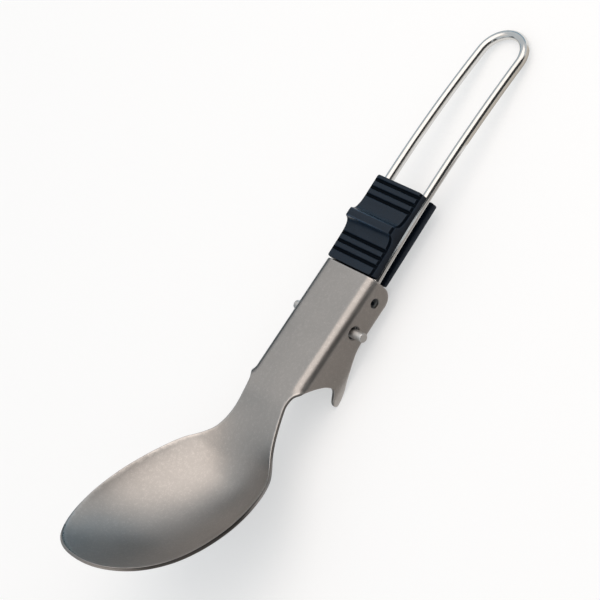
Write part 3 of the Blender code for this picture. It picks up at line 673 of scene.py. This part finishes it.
def make_wire(wire):
    """A circle carried along the wire's middle line: a straight pin, a quarter bend, a bowed leg and
    half a round loop, then the mirror image. The radius shrinks by a quarter circle at each end.
    Masks say how far along and round it a point lies, where it is darkened by painted shade
    inside the channel, and where it is blunt."""
    rounding, bend = quarter_turn(PIN_ROUND_STEPS), quarter_turn(PIN_BEND_STEPS)
    swing = quarter_turn(LOOP_STEPS)[1:]
    round_y = wire.pin_end - wire.pin_round * (1.0 - np.cos(rounding))
    pin_y = np.linspace(round_y[-1], wire.pivot_spread + wire.pin_bend, PIN_STEPS + 1)[1:-1]
    leg_x = np.linspace(wire.pin_bend, wire.leg_reach, LEG_STEPS + 1)[1:]
    x = np.concatenate([np.zeros(len(round_y) + len(pin_y)), wire.pin_bend * (1.0 - np.cos(bend)),
                        leg_x, wire.leg_reach + wire.loop_spread * np.sin(swing)])
    y = np.concatenate([round_y, pin_y, wire.pivot_spread + wire.pin_bend * (1.0 - np.sin(bend)),
                        leg_spread(wire, leg_x), wire.loop_spread * np.cos(swing)])
    half = np.column_stack([x, y, bow_height(wire, x)])
    path = np.vstack([half, half[-2::-1] * (1.0, -1.0, 1.0)])
    radii = np.full(len(half), wire.radius)
    radii[:len(rounding)] = wire.radius - wire.pin_round * (1.0 - np.sin(rounding))
    radii = np.concatenate([radii, radii[-2::-1]])

    ahead = unit(np.gradient(path, axis=0))
    across = unit(np.cross(ahead, (0.0, 0.0, 1.0)))
    lift = np.cross(across, ahead)
    around = full_turn(WIRE_SIDES)[:, None]
    ring = across[:, None] * np.cos(around) + lift[:, None] * np.sin(around)
    tube = path[:, None] + radii[:, None, None] * ring

    side = np.abs(path[:, 1])
    # Painted shade: the wire darkens inside the channel, where shade falls.
    grime = smooth_step((CHANNEL_SHADE_REACH - path[:, 0]) / CHANNEL_SHADE_RUN)
    grime = grime * smooth_step((CHANNEL_SHADE_SIDE - side) / SIDE_FADE_RUN)
    blunt = smooth_step((side - BLUNT_START) / SIDE_FADE_RUN)
    rows = {"along": length_along(path), "grime": grime, "blunt": blunt}
    columns = {"round": np.cos(around), "round_up": np.sin(around)}
    masks = {name: np.repeat(values, WIRE_SIDES) for name, values in rows.items()}
    masks.update({name: np.tile(values.reshape(-1), len(path)) for name, values in columns.items()})
    return tube, masks


# The lock slider

def grip_profile(slider, a):
    """At a along the slider, the ridge's height from its table, and how far down into a finger groove
    it is, from 0 to 1: a smooth step down over the groove's wall and up again."""
    share = a / slider.length
    on_ridge = (share > RIDGE_SHARES[0][0]) & (share < RIDGE_SHARES[-1][0])
    height = np.where(on_ridge, slider.ridge_height * spline_through(RIDGE_SHARES, share), 0.0)
    dip = np.zeros_like(a)
    for k in range(slider.grip_count):
        for centre in (slider.grip_inset + slider.grip_pitch / 2 + slider.grip_pitch * k,
                       slider.length - slider.grip_inset - slider.grip_pitch * k):
            inside = slider.grip_width / 2 + slider.grip_wall / 2 - np.abs(a - centre)
            dip = np.maximum(dip, smooth_step(inside / slider.grip_wall))
    return height, dip


def rounded(corners, radii):
    """A polygon's points with each corner replaced by an arc that touches both of its sides, and for
    each point the number of its corner."""
    corners = np.asarray(corners, float)
    t = np.linspace(0.0, 1.0, ROUNDING_STEPS + 1)[:, None]
    result, owner = [], []
    for k, (corner, radius) in enumerate(zip(corners, radii)):
        arc = corner[None]
        if radius > 0.0:
            back, ahead = unit(corners[k - 1] - corner), unit(corners[(k + 1) % len(corners)] - corner)
            half = math.acos(float(np.clip(back @ ahead, -1.0, 1.0))) / 2
            reach = radius / math.tan(half)
            middle = corner + unit(back + ahead) * radius / math.sin(half)
            first, last = corner + back * reach - middle, corner + ahead * reach - middle
            arc = middle + unit(first * (1 - t) + last * t) * radius
        result.append(arc)
        owner += [k] * len(arc)
    return np.vstack(result), np.array(owner)


def end_steps(length, edge, spacing):
    """Stations along a block and how far its section draws in there, by a quarter circle at each end."""
    turn = quarter_turn(ROUNDING_STEPS)[:-1]
    inner = np.linspace(edge, length - edge, max(2, round((length - 2 * edge) / spacing)))
    start = edge * (1.0 - np.cos(turn))
    stations = np.concatenate([start, inner, length - start[::-1]])
    draw = np.zeros(len(stations))
    draw[:len(turn)] = edge * (1.0 - np.sin(turn))
    draw[-len(turn):] = draw[:len(turn)][::-1]
    return stations, draw


def drawn_in(sections, draw):
    """Each section of (y, height) points moved inwards along its own normals by its draw."""
    return sections + draw[:, None, None] * inward(sections)


def block_outline(slider, wire):
    """The block's outline as (y, height) points. For each point also the corner that it rounds,
    counted down either side from the top, and what moves it up and down along the slider."""
    ceiling = wire.radius + slider.groove_clearance
    rim_turn = math.asin((slider.half_width - wire.widest_spread) / ceiling)
    floor = slider.lip - slider.bottom
    corners = [(0.0, slider.top, ON_TOP, 0.0),
               (slider.half_width - slider.chamfer, slider.top, ON_TOP, slider.crisp),
               (slider.half_width, slider.top - slider.chamfer, ON_SIDE, slider.crisp),
               (slider.half_width, ceiling * math.cos(rim_turn), IN_GROOVE, slider.crisp)]
    corners += [(wire.widest_spread + ceiling * math.sin(turn), ceiling * math.cos(turn), IN_GROOVE, 0.0)
                for turn in np.linspace(rim_turn, 0.0, WIRE_GROOVE_STEPS + 1)[1:]]
    corners += [(slider.web_half, ceiling, IN_GROOVE, slider.edge),
                (slider.web_half, floor, IN_GROOVE, slider.edge),
                (slider.lip_half, floor, IN_GROOVE, slider.crisp),
                (slider.lip_half, -slider.bottom, UNDERNEATH, slider.edge),
                (0.0, -slider.bottom, UNDERNEATH, 0.0)]
    half = np.array(corners)
    whole = np.vstack([half, (half * (-1.0, 1.0, 1.0, 1.0))[-2:0:-1]])
    outline, owner = rounded(whole[:, :2], whole[:, 3])
    return outline, np.minimum(owner, len(whole) - owner), whole[owner, 2].astype(int)


def block_masks(slider, a, outline, owner, group):
    """Where the block is worn (the two edges of each chamfer and the ridge's edges) or lit by a painted
    highlight (the ribs' edges), dusty and darkened by painted shade (the groove walls and the wire
    grooves), and matt and darkened by painted shade (the chamfers), from 0 to 1."""
    height, dip = grip_profile(slider, a)
    bell = np.sin(np.linspace(0.0, math.pi, ROUNDING_STEPS + 1))
    sharp = np.zeros(len(owner))
    sharp[np.isin(owner, (1, 2))] = np.tile(bell, 4)
    bend = -np.gradient(np.gradient(height, a), a)
    # Painted highlight on the ribs' edges, worked into the wear.
    rib_highlight = RIB_HIGHLIGHT * np.sin(math.pi * np.minimum(2.0 * dip, 1.0))
    wear_and_highlight = np.maximum(np.clip(bend / SHARP_BEND, 0.0, 1.0), rib_highlight)[:, None]
    worn = np.where(group == ON_TOP, wear_and_highlight, 0.0)
    worn = np.where(sharp > 0.0, sharp * (1.0 - dip[:, None]), worn)
    wall = (1.0 - (1.0 - dip) ** 2)[:, None]
    # Painted shade in the groove walls and the wire grooves.
    dust = np.where(group == ON_TOP, wall, (group == IN_GROOVE) * WIRE_GROOVE_DUST_AND_SHADE)
    off = np.abs(np.abs(outline[:, 0]) + outline[:, 1] - slider.half_width - slider.top + slider.chamfer)
    # The chamfers are matt and darkened by painted shade.
    matt = np.tile(np.clip(1.0 - off / (MATT_AND_SHADE_SHARE * slider.crisp), 0.0, 1.0), len(a))
    return {"worn": worn.reshape(-1), "dust": dust.reshape(-1), "matt": matt}


def make_block(slider, wire):
    """The block: a closed outline across the slider, carried along it. The outline's top follows
    the ridge and dips into the grooves, which run out on the chamfers; its wire grooves follow the
    bowed wire, and its underside is plain. Near each end a quarter circle draws in the sides."""
    a, draw = end_steps(slider.length, slider.edge, BLOCK_STEP)
    height, dip = grip_profile(slider, a)
    middle_x = slider.start + slider.length / 2
    middle_z = float(bow_height(wire, middle_x))
    dx = np.linspace(-slider.length, slider.length, BOW_SAMPLES)
    dz = bow_height(wire, middle_x + dx) - middle_z
    c, s = math.cos(slider.tilt), math.sin(slider.tilt)
    bow = np.interp(a - slider.length / 2, dx * c + dz * s, dz * c - dx * s)

    outline, owner, group = block_outline(slider, wire)
    dent = slider.grip_depth * dip
    sections = np.repeat(outline[None], len(a), axis=0)
    sections[..., 1] += np.stack([height - dent, height, bow, np.zeros(len(a))])[group].T
    sections[..., 0] += np.where(owner == 1, dent[:, None], 0.0) * np.sign(outline[:, 0])
    sections = drawn_in(sections, draw)
    near_end = np.maximum(slider.plan_corner - np.minimum(a, slider.length - a), 0.0)
    shrink = slider.plan_corner - np.sqrt(slider.plan_corner ** 2 - near_end ** 2)
    outer = (np.abs(sections[..., 0]) - slider.web_half) / (slider.half_width - slider.web_half)
    sections[..., 0] -= np.sign(sections[..., 0]) * np.clip(outer, 0.0, 1.0) * shrink[:, None]
    along, up = np.array([c, 0.0, s]), np.array([-s, 0.0, c])
    tube = (np.array([middle_x, 0.0, middle_z]) + (a - slider.length / 2)[:, None, None] * along
            + sections[..., :1] * np.array([0.0, 1.0, 0.0]) + sections[..., 1:] * up)
    return tube, block_masks(slider, a, outline, owner, group)


def make_tongue(slider, wire):
    """The tongue: a rounded oblong carried along the bowed wire, into the channel."""
    edge = 2 * slider.edge
    a, draw = end_steps(slider.tongue + ROOT, edge, TONGUE_STEP)
    x = slider.start - slider.tongue + a
    half = slider.web_half - TONGUE_PLAY
    low, high = slider.lip - slider.bottom, wire.radius + 2 * slider.groove_clearance
    outline, _ = rounded([(-half, low), (half, low), (half, high), (-half, high)], [edge] * 4)
    sections = drawn_in(np.repeat(outline[None], len(a), axis=0), draw)
    centre_x = wire.bow_radius * math.sin(wire.bow_start)
    slope = np.arcsin((centre_x - x) / wire.bow_radius)[:, None]
    return np.stack([x[:, None] - sections[..., 1] * np.sin(slope), sections[..., 0],
                     bow_height(wire, x)[:, None] + sections[..., 1] * np.cos(slope)], axis=-1)


def make_nub(slider, wire, latch_reach, side):
    """A nub: a circle carried sideways out of the tongue, drawn in by a quarter circle at its end."""
    turn = quarter_turn(NUB_STEPS)
    radius, tip = slider.nub / 2, slider.nub / 3
    y = np.concatenate([[slider.web_half - ROOT], slider.nub_end - tip + tip * np.sin(turn)])
    radii = np.concatenate([[radius], radius - tip + tip * np.cos(turn)])[:, None]
    middle = float(bow_height(wire, latch_reach)) - wire.radius - slider.groove_clearance - radius
    around = full_turn(NUB_SIDES)
    return np.stack([latch_reach + radii * np.cos(around), np.repeat(side * y[:, None], NUB_SIDES, axis=1),
                     middle + radii * np.sin(around)], axis=-1)


# Nodes of the finishes

def feed(tree, socket, value):
    """Links another node's output to a socket, or writes a number or a colour into it."""
    if isinstance(value, bpy.types.NodeSocket):
        tree.links.new(value, socket)
    elif isinstance(value, tuple):
        socket.default_value = (*value, 1.0)
    else:
        socket.default_value = value


def math_node(tree, operation, *values, clamp=False):
    """One step of arithmetic on sockets and numbers."""
    node = tree.nodes.new("ShaderNodeMath")
    node.operation = operation
    node.use_clamp = clamp
    for socket, value in zip(node.inputs, values):
        feed(tree, socket, value)
    return node.outputs[0]


def noise_node(tree, vector, scale, detail, roughness=0.55):
    """Noise over the surface, from 0 to 1."""
    node = tree.nodes.new("ShaderNodeTexNoise")
    for label, value in (("Vector", vector), ("Scale", scale), ("Detail", detail), ("Roughness", roughness)):
        feed(tree, node.inputs[label], value)
    return node.outputs["Fac"]


def range_node(tree, value, low=0.0, high=1.0, to_low=0.0, to_high=1.0):
    """A value that runs from low to high, moved and stretched to run from to_low to to_high."""
    node = tree.nodes.new("ShaderNodeMapRange")
    for label, number in (("Value", value), ("From Min", low), ("From Max", high),
                          ("To Min", to_low), ("To Max", to_high)):
        feed(tree, node.inputs[label], number)
    return node.outputs["Result"]


def mix_colour(tree, factor, first, second):
    """The first colour where the factor is 0, and the second where it is 1."""
    node = tree.nodes.new("ShaderNodeMix")
    node.data_type = "RGBA"
    for label, value in (("Factor", factor), ("A", first), ("B", second)):
        feed(tree, node.inputs[label], value)
    return node.outputs["Result"]


def attribute_node(tree, name):
    """One of the piece's masks."""
    node = tree.nodes.new("ShaderNodeAttribute")
    node.attribute_name = name
    return node.outputs["Fac"]


def add_bump(tree, shader, height, distance, strength):
    """Bump from a height, on the shader's normal."""
    bump = tree.nodes.new("ShaderNodeBump")
    for label, value in (("Distance", distance), ("Strength", strength), ("Height", height)):
        feed(tree, bump.inputs[label], value)
    feed(tree, shader.inputs["Normal"], bump.outputs["Normal"])


def new_group(name, inputs, outputs):
    """A shader node group that takes a vector and these numbers and puts out the named numbers, with
    the sockets of both its ends."""
    tree = bpy.data.node_groups.new(name, "ShaderNodeTree")
    tree.interface.new_socket("Vector", in_out="INPUT", socket_type="NodeSocketVector")
    for label, value in inputs.items():
        socket = tree.interface.new_socket(label, in_out="INPUT", socket_type="NodeSocketFloat")
        socket.default_value = value
    for label in outputs:
        tree.interface.new_socket(label, in_out="OUTPUT", socket_type="NodeSocketFloat")
    start, end = tree.nodes.new("NodeGroupInput"), tree.nodes.new("NodeGroupOutput")
    return tree, start.outputs, end.inputs


def grain_group(name):
    """Shared grain: fine speckle from two sizes of noise, broad cloudiness, and a height."""
    inputs = {"Fineness": 4000.0, "Cloud size": 60.0}
    tree, given, made = new_group(name, inputs, ("Speckle", "Cloud", "Height"))
    coarse_scale = math_node(tree, "MULTIPLY", given["Fineness"], 0.31)
    fine = noise_node(tree, given["Vector"], given["Fineness"], detail=2.0)
    coarse = noise_node(tree, given["Vector"], coarse_scale, detail=2.0)
    cloud = noise_node(tree, given["Vector"], given["Cloud size"], detail=4.0)
    coarse = math_node(tree, "MULTIPLY", coarse, 0.4)
    both = math_node(tree, "ADD", math_node(tree, "MULTIPLY", fine, 0.6), coarse)
    feed(tree, made["Speckle"], range_node(tree, both, low=0.32, high=0.68))
    feed(tree, made["Cloud"], range_node(tree, cloud, low=0.3, high=0.7))
    feed(tree, made["Height"], both)
    return tree


def wear_group(name):
    """Shared edge wear: a mask along the edges, broken up by noise."""
    tree, given, made = new_group(name, {"Edge": 0.0, "Patch size": 700.0, "Amount": 0.6}, ("Mask",))
    patches = noise_node(tree, given["Vector"], given["Patch size"], detail=3.0)
    broken = range_node(tree, patches, low=0.35, high=0.6, to_low=0.45)
    held = math_node(tree, "MULTIPLY", given["Edge"], broken)
    feed(tree, made["Mask"], math_node(tree, "MULTIPLY", held, given["Amount"], clamp=True))
    return tree


def place_group(tree, name, maker, **values):
    """The outputs of the shared group of that name, made once and placed here with these values."""
    node = tree.nodes.new("ShaderNodeGroup")
    node.node_tree = bpy.data.node_groups.get(name) or maker(name)
    for label, value in values.items():
        feed(tree, node.inputs[label.replace("_", " ").capitalize()], value)
    return node.outputs


def new_material(name, fineness, cloud_size):
    """A material with its Principled shader, the Object coordinates that its patterns read, and the
    shared grain."""
    made = bpy.data.materials.new(name)
    made.use_nodes = True
    tree = made.node_tree
    where = tree.nodes.new("ShaderNodeTexCoord").outputs["Object"]
    grain = place_group(tree, "Surface grain", grain_group, vector=where, fineness=fineness,
                        cloud_size=cloud_size)
    return made, tree, tree.nodes["Principled BSDF"], where, grain


def tints(colour, **factors):
    """Named tints of a colour: each channel times the tint's factor, at most 1."""
    return {name: tuple(min(1.0, channel * factor) for channel in colour) for name, factor in factors.items()}


# Finishes

def titanium_finish(colour):
    """Bead-blasted titanium: warm grey with fine speckle, brighter and smoother on the tumbled
    arrises, and darker on the sheared edges, most round the bowl's front, as painted shade."""
    made, tree, shader, where, grain = new_material("blasted_titanium", fineness=3500.0, cloud_size=85.0)
    tint = tints(colour, dark_cloud=0.955, pale_cloud=1.035, speckle=1.34, cut=0.10, worn=1.50)
    worn = place_group(tree, "Edge wear", wear_group, edge=attribute_node(tree, "arris"), vector=where,
                       patch_size=600.0, amount=0.75)["Mask"]
    sparkle = range_node(tree, grain["Speckle"], to_low=-0.5, to_high=0.5)
    base = mix_colour(tree, grain["Cloud"], tint["dark_cloud"], tint["pale_cloud"])
    base = mix_colour(tree, sparkle, base, tint["speckle"])
    # The cut mask paints shade on the sheared edges.
    base = mix_colour(tree, attribute_node(tree, "cut"), base, tint["cut"])
    feed(tree, shader.inputs["Base Color"], mix_colour(tree, worn, base, tint["worn"]))
    rough = range_node(tree, grain["Speckle"], to_low=0.43, to_high=0.34)
    rough = math_node(tree, "ADD", rough, range_node(tree, grain["Cloud"], to_low=-0.02, to_high=0.03))
    polished = math_node(tree, "MULTIPLY", worn, 0.16)
    feed(tree, shader.inputs["Roughness"], math_node(tree, "SUBTRACT", rough, polished))
    shader.inputs["Metallic"].default_value = 1.0
    add_bump(tree, shader, grain["Height"], distance=0.00006, strength=0.45)
    return made


def steel_finish(colour):
    """Polished steel wire: bright, with faint lines drawn along it and a few duller patches, darker
    with painted shade inside the channel, where it is also rougher, and rougher on its pins."""
    made, tree, shader, _, grain = new_material("polished_steel", fineness=3000.0, cloud_size=120.0)
    tint = tints(colour, dark_line=0.93, pale_line=1.05, dull=0.9, grime=0.12)
    spot = tree.nodes.new("ShaderNodeCombineXYZ")
    for axis, name, stretch in (("X", "along", 0.02), ("Y", "round", 0.0012), ("Z", "round_up", 0.0012)):
        feed(tree, spot.inputs[axis], math_node(tree, "MULTIPLY", attribute_node(tree, name), stretch))
    drawn = noise_node(tree, spot.outputs["Vector"], 5200.0, detail=3.0, roughness=0.6)
    grime = attribute_node(tree, "grime")
    lines = range_node(tree, drawn, low=0.35, high=0.65)
    patches = range_node(tree, grain["Cloud"], low=0.4, to_high=0.5)
    base = mix_colour(tree, lines, tint["dark_line"], tint["pale_line"])
    base = mix_colour(tree, patches, base, tint["dull"])
    # Painted shade darkens the wire inside the channel.
    base = mix_colour(tree, math_node(tree, "MULTIPLY", grime, 0.85), base, tint["grime"])
    feed(tree, shader.inputs["Base Color"], base)
    rough = math_node(tree, "ADD", range_node(tree, drawn, low=0.3, high=0.7, to_low=0.11, to_high=0.16),
                      range_node(tree, grain["Cloud"], to_high=0.05))
    for mask in (grime, attribute_node(tree, "blunt")):
        rough = math_node(tree, "MULTIPLY_ADD", mask, 0.3, rough)
    feed(tree, shader.inputs["Roughness"], rough)
    shader.inputs["Metallic"].default_value = 1.0
    add_bump(tree, shader, drawn, distance=0.00001, strength=0.02)
    return made


def plastic_finish(colour):
    """Black moulded plastic with a fine spark-eroded grain, greyer and smoother on its rubbed high
    edges and on the ribs' edges as a painted highlight, and darker on its chamfers, in its grooves and
    inside the channel as painted shade."""
    made, tree, shader, where, grain = new_material("black_plastic", fineness=5200.0, cloud_size=160.0)
    tint = tints(colour, dark_cloud=0.8, pale_cloud=1.2, speckle=1.9, dull=0.2, worn=5.0)
    worn = place_group(tree, "Edge wear", wear_group, edge=attribute_node(tree, "worn"), vector=where,
                       patch_size=900.0, amount=0.8)["Mask"]
    dust = attribute_node(tree, "dust")
    # Painted shade: darker on the chamfers, in the grooves and inside the channel.
    dull = math_node(tree, "MAXIMUM", attribute_node(tree, "matt"), dust)
    base = mix_colour(tree, grain["Cloud"], tint["dark_cloud"], tint["pale_cloud"])
    base = mix_colour(tree, grain["Speckle"], base, tint["speckle"])
    base = mix_colour(tree, math_node(tree, "MULTIPLY", dull, 0.9), base, tint["dull"])
    feed(tree, shader.inputs["Base Color"], mix_colour(tree, worn, base, tint["worn"]))
    rough = range_node(tree, grain["Speckle"], to_low=0.34, to_high=0.26)
    rough = math_node(tree, "MULTIPLY_ADD", dust, 0.35, rough)
    feed(tree, shader.inputs["Roughness"], math_node(tree, "MULTIPLY_ADD", worn, -0.08, rough))
    shine = math_node(tree, "MULTIPLY_ADD", dull, -0.24, 0.28)
    shine = math_node(tree, "MULTIPLY_ADD", worn, 0.35, shine, clamp=True)
    feed(tree, shader.inputs["Specular IOR Level"], shine)
    add_bump(tree, shader, grain["Height"], distance=0.00005, strength=0.30)
    return made


def floor_finish(colour):
    """Matt pale floor paper with a barely seen tooth. Seen by the camera or in metal it also glows
    up to white, but for a soft painted shadow under the channel, which is darker and where the glow fades
    out."""
    made, tree, shader, where, grain = new_material("floor_paper", fineness=900.0, cloud_size=6.0)
    tint = tints(colour, dark_cloud=0.995, pale_cloud=1.005, seen=0.5, shade=0.15)
    rays = tree.nodes.new("ShaderNodeLightPath").outputs
    seen = math_node(tree, "MAXIMUM", rays["Is Camera Ray"], rays["Is Glossy Ray"])
    seen = math_node(tree, "MAXIMUM", seen, rays["Is Transmission Ray"])
    place = tree.nodes.new("ShaderNodeSeparateXYZ")
    feed(tree, place.inputs["Vector"], where)
    # Painted shadow under the channel: a darker colour, and the glow fades out there.
    fades = []
    for axis, middle, core, edge in zip("XY", SHADE_MIDDLE, SHADE_CORE, SHADE_EDGE):
        away = math_node(tree, "ABSOLUTE", math_node(tree, "SUBTRACT", place.outputs[axis], middle))
        fades.append(range_node(tree, away, low=core, high=edge, to_low=1.0, to_high=0.0))
    shade = math_node(tree, "MULTIPLY", *fades)
    base = mix_colour(tree, grain["Cloud"], tint["dark_cloud"], tint["pale_cloud"])
    base = mix_colour(tree, seen, base, tint["seen"])
    feed(tree, shader.inputs["Base Color"], mix_colour(tree, shade, base, tint["shade"]))
    shader.inputs["Roughness"].default_value = 0.9
    shader.inputs["Specular IOR Level"].default_value = 0.1
    shader.inputs["Emission Color"].default_value = (1.0, 1.0, 1.0, 1.0)
    glow = math_node(tree, "MULTIPLY_ADD", shade, -FLOOR_GLOW, FLOOR_GLOW)
    feed(tree, shader.inputs["Emission Strength"], math_node(tree, "MULTIPLY", seen, glow))
    return made


# The stage

def aim(thing, place, target):
    """Put a thing at a place, facing a target."""
    thing.location = place
    thing.rotation_euler = (Vector(target) - Vector(place)).to_track_quat("-Z", "Y").to_euler()


def add_soft_box(name, place, width, brightness, colour):
    """A round soft box whose face shines with the given brightness, whatever its width."""
    lamp = bpy.data.lights.new(name, "AREA")
    lamp.shape = "DISK"
    lamp.size = width
    lamp.energy = brightness * (math.pi * width / 2) ** 2
    lamp.color = colour
    box = bpy.data.objects.new(name, lamp)
    bpy.context.scene.collection.objects.link(box)
    aim(box, place, SOFT_BOX_TARGET)


def add_oblong(name, size, finish):
    """A flat oblong of the given length and width, with its middle at its own origin."""
    mesh = bpy.data.meshes.new(name)
    corners = np.array([(-0.5, -0.5), (0.5, -0.5), (0.5, 0.5), (-0.5, 0.5)]) * size
    mesh.from_pydata(np.column_stack([corners, np.zeros(4)]), [], [(0, 1, 2, 3)])
    mesh.materials.append(finish)
    oblong = bpy.data.objects.new(name, mesh)
    bpy.context.scene.collection.objects.link(oblong)
    return oblong


def add_card(name, place, target, size, colour):
    """A flat card that shows only in reflections, as a photographer's flag does. It faces the target,
    and lies flat where there is none."""
    finish = bpy.data.materials.new(name)
    finish.use_nodes = True
    shader = finish.node_tree.nodes["Principled BSDF"]
    shader.inputs["Base Color"].default_value = (*colour, 1.0)
    shader.inputs["Roughness"].default_value = CARD_ROUGHNESS
    card = add_oblong(name, size, finish)
    card.location = place
    if target is not None:
        aim(card, place, target)
    card.visible_camera = False
    card.visible_diffuse = False
    card.visible_shadow = False


def place_camera(scene, lens):
    """The camera that took the photograph, in its place over the laid spoon."""
    camera = bpy.data.cameras.new("photo_camera")
    camera.sensor_width = FILM_WIDTH_MM
    camera.lens = lens
    camera.clip_start, camera.clip_end = CAMERA_CLIP
    holder = bpy.data.objects.new("photo_camera", camera)
    scene.collection.objects.link(holder)
    laid = Matrix.Translation(Vector(PIVOT)) @ Matrix.Rotation(PITCH, 4, "Y")
    turned = Euler([math.radians(angle) for angle in CAMERA_TURN]).to_matrix().to_4x4()
    holder.matrix_world = laid @ Matrix.Translation(CAMERA_PLACE) @ turned
    scene.camera = holder


# Operators

class SPOON_OT_press_body(bpy.types.Operator):
    """Press the spoon body out of sheet"""

    bl_idname = "camp_spoon.press_body"
    bl_label = "Press Spoon Body"

    def execute(self, context):
        sizes = context.scene.camp_spoon.sheet
        points, faces, masks = make_sheet(sizes)
        piece = add_piece("pressed_body", points, faces, "spoon", titanium_finish(sizes.colour), masks)
        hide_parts("spoon_body")
        return {"FINISHED"}


class SPOON_OT_bend_handle(bpy.types.Operator):
    """Bend the handle out of round wire"""

    bl_idname = "camp_spoon.bend_handle"
    bl_label = "Bend Wire Handle"

    def execute(self, context):
        sizes = context.scene.camp_spoon.wire
        tube, masks = make_wire(sizes)
        points, faces = joined_tubes([tube])
        piece = add_piece("bent_handle", points, faces, "handle", steel_finish(sizes.colour), masks)
        piece.data.set_sharp_from_angle(angle=math.radians(STEEL_SHARP))
        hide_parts("wire_handle")
        return {"FINISHED"}


class SPOON_OT_mould_slider(bpy.types.Operator):
    """Mould the lock slider"""

    bl_idname = "camp_spoon.mould_slider"
    bl_label = "Mould Lock Slider"

    def execute(self, context):
        settings = context.scene.camp_spoon
        sizes, wire = settings.slider, settings.wire
        block, masks = make_block(sizes, wire)
        nubs = [make_nub(sizes, wire, settings.sheet.latch_reach, side) for side in (1.0, -1.0)]
        points, faces = joined_tubes([block, make_tongue(sizes, wire)] + nubs)
        # The tongue and the nubs inside the channel get painted shade.
        for name, inner in (("worn", 0.0), ("dust", INNER_DUST_AND_SHADE), ("matt", INNER_DUST_AND_SHADE)):
            masks[name] = np.concatenate([masks[name], np.full(len(points) - len(masks[name]), inner)])
        piece = add_piece("moulded_slider", points, faces, "slider", plastic_finish(sizes.colour), masks)
        piece.data.set_sharp_from_angle(angle=math.radians(PLASTIC_SHARP))
        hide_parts("lock_slider")
        return {"FINISHED"}


class SPOON_OT_set_stage(bpy.types.Operator):
    """Lay the floor, hang the lights and place the camera"""

    bl_idname = "camp_spoon.set_stage"
    bl_label = "Set Stage"

    def execute(self, context):
        scene = context.scene
        studio = scene.camp_spoon.studio
        floor = add_oblong("floor", (studio.floor_size, studio.floor_size), floor_finish(studio.floor_colour))

        world = bpy.data.worlds.new("studio_room")
        scene.world = world
        world.use_nodes = True
        room = world.node_tree.nodes["Background"]
        room.inputs["Color"].default_value = (*studio.room_colour, 1.0)
        room.inputs["Strength"].default_value = studio.room_strength
        for name, place, width, brightness, colour in SOFT_BOXES:
            add_soft_box(name, place, width, getattr(studio, brightness), getattr(studio, colour))
        for card in CARDS:
            add_card(*card)

        place_camera(scene, studio.lens)
        scene.view_settings.view_transform = "Standard"
        return {"FINISHED"}


class SPOON_PT_panel(bpy.types.Panel):
    """Buttons and sizes of the spoon"""

    bl_idname = "SPOON_PT_panel"
    bl_label = "Folding Spoon"
    bl_space_type = "VIEW_3D"
    bl_region_type = "UI"
    bl_category = "Spoon"

    def draw(self, context):
        layout = self.layout
        for operator in OPERATORS:
            layout.operator(operator.bl_idname)
        settings = context.scene.camp_spoon
        for label in ("sheet", "wire", "slider", "studio"):
            group = getattr(settings, label)
            box = layout.box()
            box.label(text=label.capitalize())
            for prop in group.__annotations__:
                box.prop(group, prop)


OPERATORS = (SPOON_OT_press_body, SPOON_OT_bend_handle, SPOON_OT_mould_slider, SPOON_OT_set_stage)
CLASSES = (SheetSizes, WireSizes, SliderSizes, StudioSettings, SpoonSettings) + OPERATORS + (SPOON_PT_panel,)


def register():
    """Makes the settings, the operators and the panel known."""
    for kind in CLASSES:
        bpy.utils.register_class(kind)
    bpy.types.Scene.camp_spoon = PointerProperty(type=SpoonSettings)


def unregister():
    """Takes them away again, the last one first."""
    del bpy.types.Scene.camp_spoon
    for kind in reversed(CLASSES):
        bpy.utils.unregister_class(kind)


def main():
    register()
    bpy.ops.camp_spoon.press_body()
    bpy.ops.camp_spoon.bend_handle()
    bpy.ops.camp_spoon.mould_slider()
    bpy.ops.camp_spoon.set_stage()
    bpy.context.view_layer.update()


if __name__ == "__main__":
    main()
